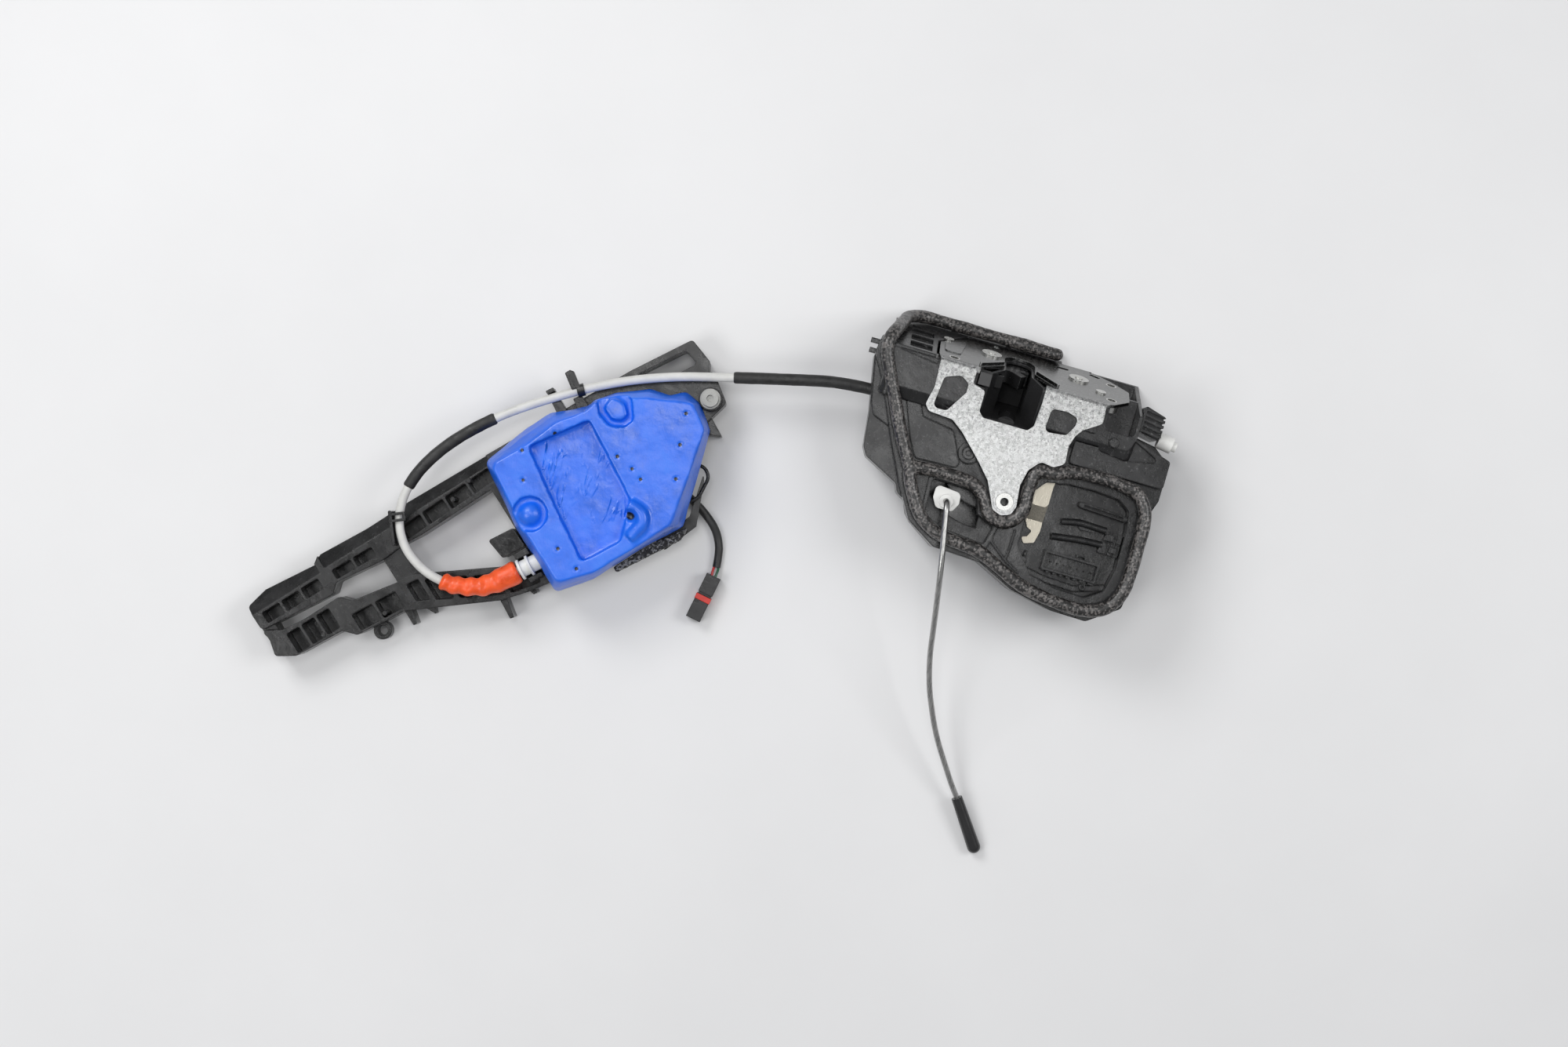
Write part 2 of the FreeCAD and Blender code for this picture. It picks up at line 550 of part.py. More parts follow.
def mouth_liner():
    outer = mouth_shape(mouth_half + 0.5, 8.5, -block_depth, -sheet - 0.2, 1.0)
    inner = mouth_shape(mouth_half - 1.5, 8.5, -block_depth + 2.0, 5.0, -30.0)
    lug = box(-34.6, 62.8, -9, -27.5, 70.5, 1.5)
    pawl_room = box(-26, 34, claw_top - claw_thick - 0.6, 8, 60, claw_top + 0.6)
    column = Part.makeCylinder(column_r, 15, V(mouth_x, 5, -block_depth - 2.0), V(0, 1, 0))
    column = column.common(box(mouth_x - 9, 0, -block_depth + 1.0, mouth_x + 9, 30, 0))
    channel = place(fuse(cut(outer, inner, pawl_room), column), FLANGE).cut(claw_room())
    channel = channel.common(box(-100, 0, -100, 100, 120, -sheet - 0.2))
    inner_world = place(inner, FLANGE)
    return fuse(channel, lug.cut(inner_world))


def fork():
    blank = rod(claw_x, claw_w, claw_r, claw_top - claw_thick, claw_top)
    blank = blank.common(box(claw_x - 15, claw_w - 30, -30, claw_x + 30, claw_w + 30, 10))
    slot_x, slot_y = polar(claw_x, claw_w, slot_r, claw_open)
    out_x, out_y = polar(claw_x, claw_w, 40, claw_open)
    slot = bar((slot_x, slot_y), (out_x, out_y), 2 * slot_half, -30, 10)
    tools = [slot, rod(claw_x, claw_w, pivot_r + fit, -30, 10)]
    for load_wall, run in [(pawl_meet + 1 - claw_travel, 17), (pawl_meet + 1 - 20, 11)]:
        tools.append(prism([polar(claw_x, claw_w, claw_r + 4, load_wall),
                            polar(claw_x, claw_w, claw_r - 4.5, load_wall),
                            polar(claw_x, claw_w, claw_r - 4.5, load_wall - 0.45 * run),
                            polar(claw_x, claw_w, claw_r + 4, load_wall - run)], -30, 10))
    return place(cut(blank, *tools), FLANGE)


def pawl():
    low, high = claw_top - claw_thick, claw_top
    nose = polar(claw_x, claw_w, claw_r + gap + 2.5, pawl_meet)
    arm = bar((pawl_x, pawl_w), nose, 5.0, low, high)
    elbow = bar((pawl_x, pawl_w), (pawl_x - 14, pawl_w + 6), 8.0, low, high)
    tail = bar((pawl_x, pawl_w), (tail_x, tail_w), 8.0, low, high)
    hub = rod(pawl_x, pawl_w, 9.5, low, high)
    finger = rod(tail_x, tail_w, tail_r, -34.5, high)
    body = fuse(arm, elbow, tail, hub, finger)
    body = cut(body, rod(pawl_x, pawl_w, pivot_r + fit, -30, 10),
               rod(claw_x, claw_w, claw_r + gap, -30, 10))
    return place(body, FLANGE)


def pivot_pin(x, w):
    pin = fuse(rod(x, w, pivot_r, back_h, -sheet), rod(x, w, rivet_r, -sheet, 0),
               rod(x, w, rivet_r + 2.2, 0, 1.2), rod(x, w, rivet_r - 1.5, 1.2, 1.8),
               rod(x, w, rivet_r, back_h - back_thick, back_h),
               rod(x, w, rivet_r + 1.5, back_h - back_thick - 1.2, back_h - back_thick))
    return place(pin, FLANGE)


@cache
def back_plate():
    plate = prism([(-60, 40), (-60, 12), (-30, 9), (43.5, 9), (43.5, 50), (36, 60),
                   (-44, 60)], back_h - back_thick, back_h, 3.0)
    plate = cut(plate, mouth_shape(mouth_half + 1.0, 9.5, -40, 0, -10),
                rod(claw_x, claw_w, rivet_r + fit, -40, 0),
                rod(pawl_x, pawl_w, rivet_r + fit, -40, 0),
                bar((tail_x + 0.5, tail_w), (tail_x - 7, tail_w), 2 * tail_r + 3, -40, 0))
    for x, w in frame_rivet_places:
        plate = plate.cut(rod(x, w, 2.0 + fit, -40, 0))
    return place(plate, FLANGE)


@cache
def frame_rivets():
    rivets = []
    for x, w in frame_rivet_places:
        rivet = fuse(rod(x, w, 3.2, 0, 1.0), rod(x, w, 2.0, back_h - back_thick, 0),
                     rod(x, w, 3.0, back_h, -sheet),
                     rod(x, w, 3.2, back_h - back_thick - 1.0, back_h - back_thick))
        rivets.append(place(rivet, FLANGE))
    return Part.makeCompound(rivets)


def torsion_spring(x, w, heading):
    wire = 1.3
    low = back_h + 0.1
    r = pivot_r + 0.2 + wire / 2
    rings = coil(x, w, r, wire, 2, low)
    leg = bar(polar(x, w, r, heading), polar(x, w, r + 8, heading + 35), wire * 0.9,
              low + 0.1, low + wire - 0.1)
    return place(fuse(*rings, leg), FLANGE)


def release_link():
    """A flat slide behind the mouth, from the cable's inner wire to the pawl's finger."""
    low, high = -33.5, -32.0
    band = prism([(-62, tail_w + 4), (-62, tail_w + 12), (-30, tail_w + 12), (0, tail_w + 5),
                  (tail_x + 6, tail_w + 5), (tail_x + 6, tail_w - 5), (0, tail_w - 5),
                  (-30, tail_w + 4)], low, high, 2.0)
    slot = bar((tail_x, tail_w - 1.2), (tail_x, tail_w + 1.2), 2 * tail_r + 0.6, -40, 0)
    ear = prism([(-62, 20), (-62, 29.5), (-60.5, 29.5), (-60.5, 20)], -41.5, high)
    body = place(cut(fuse(band, ear), slot), FLANGE)
    wire_hole = Part.makeCylinder(core_r + fit, 12, V(-68, cable_points[0][1], cable_z), V(1, 0, 0))
    return body.cut(wire_hole)


def latch_core():
    """The cable's inner wire at the latch, with the nipple that pulls the link."""
    y = cable_points[0][1]
    wire = Part.makeCylinder(core_r, 23, V(-82.5, y, cable_z), V(1, 0, 0))
    ball = Part.makeCylinder(2.0, 2.5, V(-60.4, y, cable_z), V(1, 0, 0))
    return fuse(wire, ball)


def striker_buffer():
    pad = cut(rod(mouth_x, arch_w, mouth_half - 1.5 - 0.02, -27.9, -16),
              box(mouth_x - 20, 0, -40, mouth_x + 20, arch_w + 3.5, 0))
    return place(pad, FLANGE)


def lock_lever():
    low, high = lever_z, lever_z + lever_thick
    step = 360.0 / sector_teeth
    pin = (lever_pin_x, lever_pin_y)
    root_r, teeth = gear(sector_teeth, *pin, low, high, gear_angle, -7, 3)
    fan = prism([pin, polar(*pin, 80, gear_angle - 7.5 * step),
                 polar(*pin, 80, gear_angle + 2.5 * step)], low, high)
    rim = ring(*pin, root_r - 5, root_r, low, high).common(fan)
    spokes = [bar(pin, polar(*pin, root_r - 2, gear_angle + turn * step), 5.0, low, high)
              for turn in (-6.5, 1.5)]
    hub = rod(*pin, 6.5, low, high)
    arm = bar(pin, (clip_x, clip_y), 7.0, low, high)
    post = box(clip_x - 4, clip_y - 1, low, clip_x + 4, clip_y + 4.5, -9.5)
    body = fuse(hub, arm, rim, post, *spokes, *teeth)
    return body.cut(rod(*pin, lever_pin_r + fit, -60, 0))


def rod_clip():
    tab = prism([(clip_x - 8, clip_y + 7), (clip_x - 8, clip_y - 1), (clip_x - 5, clip_y - 6.5),
                 (clip_x + 5, clip_y - 6.5), (clip_x + 8, clip_y - 1), (clip_x + 7.5, clip_y + 5.5)],
                -9.5, -7.0, 3.0)
    collar = rod(clip_x, clip_y - 1.5, 4.2, -9.5, -4.5)
    return cut(fuse(tab, collar), rod(clip_x, clip_y - 1.5, rod_r + fit, -20, 0))


rod_r = 1.75
rod_high = 4.6
rod_points = [(clip_x, clip_y - 1.5, -9.4), (clip_x, clip_y - 1.5, rod_high),
              (-30.2, -24, rod_high), (-25.5, -49, rod_high), (-19, -82, -14), (-15.5, -101, -26),
              (-10, -120, -33), (2, -146, -44), (21, -174, -54), (27, -181.5, -57)]


def lock_rod():
    return tube(rod_points, rod_r)


def rod_cap():
    start = V(*rod_points[-1])
    along = V(48.1, -211.4, table_z + 4.2) - start
    length = along.Length
    body = Part.makeCone(3.4, 4.1, length - 4, start, along)
    tip_at = start + along * ((length - 4) / length)
    tip = Part.makeSphere(4.1, tip_at)
    inner = Part.makeCylinder(rod_r, 6, start - along * (1 / length), along)
    return fuse(body, tip).cut(inner)


def drive_gear():
    low, mid, high = -37.2, -33.2, -27.2
    root_r, teeth = gear(wheel_teeth, wheel_x, wheel_y, low, mid, wheel_phase)
    root_s, small = gear(pinion_teeth, wheel_x, wheel_y, mid - 0.5, high, pinion_phase)
    body = fuse(rod(wheel_x, wheel_y, root_r, low, mid), rod(wheel_x, wheel_y, root_s, low, high),
                *teeth, *small)
    return body.cut(rod(wheel_x, wheel_y, shaft_r + fit, -60, 0))


pinion_phase = gear_angle + 180.0 + 360.0 / pinion_teeth / 2
wheel_phase = motor_angle
motor_phase = motor_angle + 180.0 + 360.0 / motor_teeth / 2


def motor_pinion():
    low, high = -38.2, -32.6
    root_r, teeth = gear(motor_teeth, motor_x, motor_y, low, high, motor_phase)
    body = fuse(rod(motor_x, motor_y, root_r, low, high), *teeth)
    return body.cut(rod(motor_x, motor_y, 1.0 + fit, -60, 0))


def lock_motor():
    can = fuse(rod(motor_x, motor_y, motor_r, table_z + wall, -40.0),
               rod(motor_x, motor_y, 3.0, -40.0, -38.6),
               rod(motor_x, motor_y, 1.0, -39, -31.5))
    return can


def gear_shafts():
    wheel_shaft = rod(wheel_x, wheel_y, shaft_r, tray_bottom + 1, tub_floor - 2.3)
    lever_shaft = rod(lever_pin_x, lever_pin_y, lever_pin_r, tray_bottom + 1, -18)
    hook_shaft = rod(hook_pin_x, hook_pin_y, hook_pin_r, tray_bottom + 1, -14)
    return Part.makeCompound([wheel_shaft, lever_shaft, hook_shaft])


def inside_release_lever():
    upper = prism([(16.2, 4), (16.2, 17), (14, 30), (17, 40), (27, 40), (29.5, 31), (27.2, 17),
                   (27.2, 4)], -17, -15.2, 3.0)
    slope = Part.Face(Part.makePolygon([V(16.2, 5, -15.2), V(16.2, -5, -20.2), V(16.2, -5, -22),
                                        V(16.2, 5, -17), V(16.2, 5, -15.2)])).extrude(V(11, 0, 0))
    hook = prism([(16.2, -4.6), (27.2, -4.6), (27.2, -11), (25.5, -18), (19.5, -20), (17, -16.5),
                  (20.5, -15.5), (22.5, -11.5), (19, -10)], -22, -20.2, 1.2)
    body = fuse(upper, slope, hook)
    return body.cut(rod(hook_pin_x, hook_pin_y, hook_pin_r + fit, -60, 0))


def connector_socket():
    shell = box(33, -32, tub_floor, 67, -20, -14)
    hollow = box(34.5, -30.5, tub_floor + 1.5, 65.5, -21.5, 0)
    key = cut(box(52, -20.5, tub_floor, 58, -17.8, -15), box(53, -25, -40, 57, -18.6, 0))
    comb = [box(36.5 + 4.2 * i, -33.2, -20.4, 38.3 + 4.2 * i, -31.5, -15) for i in range(6)]
    latch_block = box(62.8, -33.4, -20.4, 66.5, -31.5, -16)
    return fuse(cut(shell, hollow), key, latch_block, *comb)


def contact_pins():
    pins = [box(38 + 4.2 * i, -26.6, tub_floor + 1.5, 39 + 4.2 * i, -25.8, -19) for i in range(7)]
    return Part.makeCompound(pins)


def cover_screw():
    head = cut(rod(screw_x, screw_y, 3.6, -12.5, -9.5), rod(screw_x, screw_y, 1.6, -11, 0))
    return fuse(head, rod(screw_x, screw_y, 1.5, tray_bottom + 4.5, -12.5))


def microswitches():
    claw_switch = box(-83, 40, tray_bottom + wall, -69, 46, -39.5)
    lock_switch = box(-62, 2, tray_bottom + wall, -48, 8, -35)
    return Part.makeCompound([claw_switch, lock_switch])


def ribbed_side_cover():
    body = prism([(66.3, 79), (80, 75), (80, 60.5), (66.3, 63)], -42, -9, 1.5)
    grooves = [box(80 - 1.2, 61 + 3 * i, -45, 82, 62.4 + 3 * i, -5) for i in range(5)]
    top_grooves = [prism([(68, 62 + 3.2 * i), (82, 60 + 3.2 * i), (82, 61.2 + 3.2 * i),
                          (68, 63.2 + 3.2 * i)], -10.2, -5) for i in range(5)]
    return cut(body, *grooves, *top_grooves)


def side_plug():
    return fuse(Part.makeCylinder(5.0, 9, V(80.3, 62, -20), V(1, -0.15, 0)),
                Part.makeCylinder(3.0, 4, V(88, 60.8, -20), V(1, -0.15, 0)))


# Outer handle carrier

upper_outer = [(3, 14), (17, 17.5), (51.5, 14), (57, 18), (90, 16), (120, 16.5), (178, 15),
               (278, 12), (321, 8), (323, -9), (318, -16)]
upper_inner = [(262, -16), (174, -4.5), (117, -5.5), (105, -4.5), (87, -6), (57.7, -2.5),
               (52, -7.5), (17.4, -4.3), (3.5, -3)]
lower_outer = [(2.8, -3), (4.5, -10), (2, -21), (13, -27.5), (45, -29.5), (51.5, -36.5),
               (84, -39.5), (137, -65), (156, -70), (170, -72)]
lower_inner = [(170, -58), (164.5, -56), (144, -45.6), (99.5, -22.6), (89, -22), (60, -17),
               (54, -10.7), (30, -11), (14, -9.5)]
foam_base = [(174, 11.5), (206, 16), (224, 16), (238, 10), (246, 7), (251, 8), (265, 5),
             (284, -4), (291.5, -14), (301, -17), (304.5, -28), (301, -45), (270, -73),
             (256, -86), (228, -84), (192, -84), (168, -79), (168.5, -34)]
foam_crown = [(178.6, 5.6), (203, 4.2), (225.4, 6.4), (238, 4), (246, 3.2), (252.8, 5), (263, 0.5),
              (279, -10), (287.4, -16.6), (296, -23), (300.5, -27), (298, -44), (267.7, -68.7),
              (250, -81.5), (228, -82), (197, -81.5), (175, -75), (175, -34)]


def cells(x0, x1, y0, y1, count, slope=0.0):
    """A row of open cells with ribs between them, cut from the top of a rail."""
    step = (x1 - x0) / count
    found = []
    for i in range(count):
        a = x0 + i * step + rib / 2
        b = x0 + (i + 1) * step - rib / 2
        rise = slope * (a - x0)
        lift = slope * (b - a)
        found.append(prism([(a, y0 + rise), (b, y0 + rise + lift), (b, y1 + rise + lift),
                            (a, y1 + rise)], rail_top - cell_depth, rail_top + 5, 1.2))
    return found


@cache
def handle_carrier():
    upper = prism(upper_outer + upper_inner, table_z, rail_top, 2.5)
    lower = prism(lower_outer + lower_inner, table_z, rail_top, 2.5)
    left_end = prism([(3, 14), (3.5, -21), (11, -24), (12, 12)], table_z, rail_top - 4, 2.5)
    web = prism([(89, 2), (104, 2), (104, -30), (89, -26)], table_z, rail_top - 3, 2.0)
    bed = prism([(168, 8), (206, 12), (238, 8), (262, 6), (285, -5), (299, -20), (300, -42),
                 (268, -70), (252, -81), (192, -80), (168, -74)], table_z, bed_top, 4.0)
    screw_boss = rod(311, -29, 7.0, table_z, -36)
    boss_web = prism([(296, -16), (322, -14), (318, -36), (300, -40)], table_z, -44, 3.0)
    ear = fuse(rod(64, -41.7, 5.6, table_z, table_z + 9),
               box(60, -41, table_z, 68, -34, table_z + 9))
    tabs = [prism([(83, -37.5), (82.8, -49.5), (85.2, -49.5), (87.5, -39)], table_z, -50, 0.5),
            prism([(93, -42), (97.5, -51), (99.8, -45)], table_z, -56, 0.5),
            prism([(136.5, -62), (135.5, -77.5), (138, -78), (141, -63)], table_z, -48, 0.5),
            prism([(153.5, -66), (155.5, -72.5), (158, -72.5), (158.5, -66)], table_z, -50, 0.5)]
    edge = prism([(298, -34), (305.8, -34), (304.8, -52), (299, -47)], table_z, -47, 0.5)
    body = fuse(upper, lower, left_end, web, bed, screw_boss, boss_web, ear, edge, *tabs)
    slopes = [place(prism([(q, rail_top + 0.1), (q + 17, rail_top + 0.1), (q + 17, rail_top - 13)],
                          a, b), SECTION) for q, a, b in ((7.5, 2, 52), (8.5, 56, 176))]
    tools = cells(8, 50, -1.5, 6.0, 3) + cells(58, 88, -1.0, 5.5, 2, -0.02)
    tools += cells(107, 174, -3.2, 5.5, 4, 0.04)
    tools += cells(14, 46, -27, -13, 3) + cells(54, 86, -35.5, -24, 2, -0.06)
    tools += [prism([(93, -38), (101, -42), (101, -27), (93, -26)], -59, -30, 1.2),
              prism([(104, -44), (114, -49), (114, -34), (104, -29)], -59, -30, 1.2),
              prism([(117, -50.5), (127, -56), (127, -41), (117, -36)], -59, -30, 1.2),
              prism([(130, -57.5), (142, -63), (142, -49), (130, -43)], -59, -30, 1.2),
              prism([(145, -64.5), (164, -68.5), (164, -59), (145, -51)], -59, -30, 1.2)]
    end_loop = prism([(276, 8), (314, 4.5), (316, -6), (292, -4)], -80, -30, 2.0)
    under = prism([(174, 4), (206, 7), (238, 3), (262, 1), (281, -9), (294, -22), (295, -40),
                   (264, -66), (250, -76), (194, -75), (174, -69)], table_z - 1, bed_top - wall, 4.0)
    tools += slopes
    tools += [end_loop, under, rod(311, -29, 2.0, -60, 0), rod(64, -41.7, ear_hole_r, -80, 0),
              rod(crank_p, crank_q, 3.0, -80, 0)]
    body = cut(body, *tools)
    boss = ring(crank_p, crank_q, 3.0, 8.0, table_z, bed_top)
    fitting_block = box(159, -66, rail_top - 2, 168, -46, cable_z)
    pegs = [rod(p, q, 1.5, table_z, rail_top + 0.4)
            for p, q in ((33.9, -25.4), (72.7, -34.0), (125.4, -53.9), (159, 7.5), (144.9, 2.9))]
    loop = tube([(279, -55, -50), (286, -61.5, -50), (285, -68.5, -50), (270.5, -77, -50),
                 (260, -70, -50)], 1.1)
    body = place(fuse(body, boss, fitting_block, loop, *pegs, *cable_holders()), CARRIER)
    lead_way = tube(lead_points[:3], lead_r + gap)
    return cut(body, cable_end_fitting_hull(), lead_way)


def cable_holders():
    """What holds the cable on the carrier: a wall with two loops, an arm and a block."""
    loop_low = cable_z + cable_r + fit
    loop_high = loop_low + 1.7
    loops = [bar((109.0, 14.3), (116.5, 10.8), 1.7, loop_low, loop_high),
             bar((107.3, 10.7), (114.8, 7.2), 1.7, loop_low, loop_high),
             bar((116.5, 10.8), (114.8, 7.2), 1.7, loop_low, loop_high)]
    loop_wall = bar((109.6, 15.6), (101.3, -2.0), 2.0, rail_top - 14, loop_high)
    under_cable = cable_z - cable_r - fit
    arm = prism([(226.5, 7), (228.6, 27.5), (233.6, 27.0), (233, 7)], rail_top - 4, under_cable, 0.8)
    hook = prism([(228.5, 25.6), (228.6, 28), (233.6, 27.6), (233.5, 25.3)], rail_top - 4,
                 cable_z + 1.5, 0.5)
    block = prism([(239, 7), (240, 15.5), (245.5, 15), (246, 7)], rail_top - 4, under_cable, 0.8)
    return [fuse(loop_wall, *loops), fuse(arm, hook), block]


def cable_clip():
    """A small box clipped round the cable, above the handle carrier."""
    start, end = V(*between(cable_points[5], cable_points[6], 0.4)), V(*cable_points[6])
    along = (end - start).normalize()
    grip = Part.makeCylinder(cable_r + 1.1, 4.5, start, along)
    case = place(prism([(242.6, 20), (247.8, 19), (249.6, 29), (248, 31), (244.4, 31)], cable_z - 2.5,
                       cable_z + 3.0, 0.8), CARRIER)
    return fuse(grip, case).cut(tube(cable_points, cable_r + fit))


def cable_end_fitting_hull():
    start = V(fitting_p, fitting_q, cable_z) - core_along
    return place(Part.makeCylinder(6.6, 21, start, core_along), CARRIER)


def foam_cover():
    levels = [(bed_top, 0.0), (bed_top + 9, 0.12), (foam_top - 9, 0.45), (foam_top - 2.5, 0.8),
              (foam_top, 1.0)]
    sections = []
    for height, share in levels:
        section = outline([between(a, b, share) for a, b in zip(foam_base, foam_crown)], 4.0)
        section.translate(V(0, 0, height))
        sections.append(section)
    body = Part.makeLoft(sections, True, True)
    recess = prism([(203, 3.5), (243, -2.5), (238.5, -56), (220, -74), (193.5, -72.5), (197, -42)],
                   foam_top - 7, foam_top + 5, 3.0)
    pocket = prism([(254, 8), (249.5, -2), (251, -12), (258, -17.4), (265, -17), (271, -5),
                    (266, 6)], foam_top - 5, foam_top + 5, 3.0)
    tongue = prism([(254, -1), (254.5, -9), (259, -13), (264, -12), (266, -5), (262, 2)],
                   foam_top - 6, foam_top - 1.5, 3.0)
    dimple = rod(182.6, -31.4, 10.5, foam_top - 4, foam_top + 5)
    dome = Part.makeSphere(8.5, V(182.6, -31.4, foam_top - 8)).common(
        box(160, -60, foam_top - 6, 200, 0, 20))
    body = fuse(cut(body, recess, pocket, dimple), tongue, dome)
    elbow = tube([(236, -58, foam_top + 0.5), (240, -66, foam_top + 0.5),
                  (238, -72, foam_top + 0.5), (226, -75, foam_top - 1)], 4.0)
    body = fuse(body, elbow)
    cavity = prism([(180, 2), (206, 5), (238, 1), (262, -1), (280, -11), (292, -24), (292, -39),
                    (262, -65), (250, -75), (196, -74), (176, -70), (176, -34)],
                   bed_top - 1, foam_top - 7 - foam_wall, 4.0)
    entry = Part.makeCylinder(6.9, 30, V(fitting_p, fitting_q, cable_z), core_along)
    return place(cut(body, cavity, entry), CARRIER).cut(handle_carrier())


core_angle = -5.5          # the inner wire's heading in the carrier
half_swing = math.degrees(cable_travel / 2 / crank_arm)
nip_p, nip_q = polar(crank_p, crank_q, crank_arm / math.cos(math.radians(half_swing)),
                     core_angle - 90 - half_swing)
fitting_p, fitting_q = polar(nip_p, nip_q, -59.5, core_angle)
core_along = V(math.cos(math.radians(core_angle)), math.sin(math.radians(core_angle)), 0)
cable_end = CARRIER.multVec(V(fitting_p, fitting_q, cable_z))


@cache
def bellcrank():
    low, high = cable_z - 4.5, cable_z + 3.5
    pin = (crank_p, crank_q)
    nip = (nip_p, nip_q)
    heading = core_angle - 90 - half_swing
    hub = rod(*pin, 8.0, bed_top + 0.3, high)
    arm = bar(pin, polar(*nip, 1.0, heading), 11.0, low, high)
    far = bar(pin, (crank_p + 34, crank_q + 6), 9.0, low, high)
    slot = bar(polar(*nip, -3.0, heading), polar(*nip, 12.0, heading), 5.6, low - 1, high + 1)
    wire_way = place(box(-20, -3.5, cable_z - 1.5, 0, 3.5, cable_z + 1.5),
                     FreeCAD.Placement(V(nip_p, nip_q, 0),
                                       FreeCAD.Rotation(V(0, 0, 1), core_angle)))
    body = cut(fuse(hub, arm, far), slot, wire_way, rod(*pin, 3.0 + fit, -80, 0))
    return place(body, CARRIER)


def counterweight():
    base = prism([(crank_p + 24, crank_q + 12), (crank_p + 24, crank_q + 26),
                  (crank_p + 42, crank_q + 20), (crank_p + 46, crank_q + 4),
                  (crank_p + 38, crank_q + 2), (crank_p + 24, crank_q + 4)],
                 cable_z - 5, cable_z + 4, 2.0)
    return place(base, CARRIER).cut(bellcrank())


def bellcrank_pin():
    pin = fuse(rod(crank_p, crank_q, 3.0, table_z + 2, cable_z + 3.8),
               rod(crank_p, crank_q, 5.5, cable_z + 3.8, cable_z + 5.2))
    return place(pin, CARRIER)


def bellcrank_spring():
    rings = coil(crank_p, crank_q, 9.3, 1.4, 2, bed_top + 0.4)
    leg = bar(polar(crank_p, crank_q, 9.3, 100), polar(crank_p, crank_q, 22, 120), 1.4,
              bed_top + 0.5, bed_top + 1.7)
    return place(fuse(*rings, leg), CARRIER)


def cable_nipple():
    barrel = rod(nip_p, nip_q, 2.5, cable_z - 4, cable_z + 3)
    return place(barrel, CARRIER)


def carrier_core():
    """The bare inner wire between the cable's end fitting and its nipple."""
    start = V(nip_p, nip_q, cable_z) - core_along * 50
    wire = Part.makeCylinder(core_r, 50, start, core_along)
    return place(wire.cut(rod(nip_p, nip_q, 2.5, cable_z - 4, cable_z + 3)), CARRIER)


def carrier_screw():
    head = cut(rod(311, -29, 5.0, -36, -30.5), rod(311, -29, 2.2, -33, 0))
    washer = rod(311, -29, 6.2, -36.0, -35.0)
    return place(fuse(head, washer, rod(311, -29, 2.0, -58, -35)), CARRIER)


def felt_strip():
    return place(prism([(206, -84.3), (206, -88), (250, -92), (258, -88), (230, -84.3)],
                       bed_top - 8, bed_top, 0.5), CARRIER)


def gloss_bar():
    return place(prism([(236, -84.3), (262, -82.5), (284, -64), (280, -70), (262, -90),
                        (238, -92)], bed_top - 12, bed_top - 8.2, 1.0), CARRIER)


def sensor_box():
    return place(prism([(150, -30), (167, -31.5), (167.5, -45), (152, -44)], table_z,
                       cable_z - 6, 1.5), CARRIER)


# Cable, from the latch to the handle carrier

cable_points = [(-78, 45.1, cable_z), (-108, 45.1, cable_z), (-144, 36.5, cable_z),
                (-180, 27.5, cable_z), (-214, 18.5, cable_z), (-248, 4.5, cable_z),
                (-281, -15, cable_z), (-310, -35.5, cable_z), (-334, -60, cable_z),
                (-347.5, -84, cable_z), (-350, -106, cable_z), (-342.5, -124, cable_z),
                (-327, -136, cable_z), (-309, -140.5, cable_z), (-292, -138, cable_z),
                (-280, -130.5, cable_z), tuple(cable_end)]


boot_points = [(-313, -139.4, 4.9), (-307, -140.2, 5.3), (-301, -139.5, 5.8), (-295.2, -138.3, 6.3),
               (-289.5, -136.0, 6.8), (-284.2, -132.8, 7.1), (-279.4, -129.4, 7.3)]


def cable_sheath():
    bore = Part.makeCylinder(core_r + 0.2, 14, V(*cable_points[0]), V(-1, 0, 0))
    return tube(cable_points, cable_r).cut(bore)


def sleeve(points):
    return tube(points, sleeve_r).cut(tube(cable_points, cable_r + fit))


def cable_boot():
    """A ribbed boot that grows towards the handle, along the cable's last bend."""
    parts = []
    for (x, y, r), (nx, ny, nr) in zip(boot_points, boot_points[1:]):
        start = V(x, y, cable_z)
        along = V(nx - x, ny - y, 0)
        parts.append(Part.makeCone(r - 0.6, nr - 0.6, along.Length + 1.2, start, along))
        parts.append(Part.makeCylinder(r + 0.4, 2.2, start, along))
    return fuse(*parts).cut(tube(cable_points[-5:], cable_r))


def cable_end_fitting():
    start = V(fitting_p, fitting_q, cable_z)
    stem = Part.makeCylinder(5.0, 19, start, core_along)
    flanges = [Part.makeCylinder(6.5, 1.6, start + core_along * at, core_along) for at in (0, 6)]
    bore = Part.makeCylinder(core_r + 0.2, 30, start - core_along, core_along)
    return place(fuse(stem, *flanges).cut(bore), CARRIER)


lead_points = [(-187, -46.5, -58), (-178.5, -51, lead_z + 1), (-170.5, -55.9, lead_z),
               (-161.8, -63.3, lead_z), (-157, -72.1, lead_z), (-155.4, -80, lead_z),
               (-154.9, -86, lead_z)]


def lead_sheath():
    return tube(lead_points, lead_r)


def lead_wires():
    """The two bare leads between the sheath's end and the plug."""
    leads = []
    for side in (-1.1, 1.1):
        a = V(-154.9 + side, -86, lead_z)
        b = V(-155.0 + side, -91.6, -61.2)
        leads.append(Part.makeCylinder(0.8, (b - a).Length, a, b - a))
    return Part.makeCompound(leads)


plug_start = V(-154.8, -91.6, -61.0)
plug_along = V(-5.2, -28.8, 0)


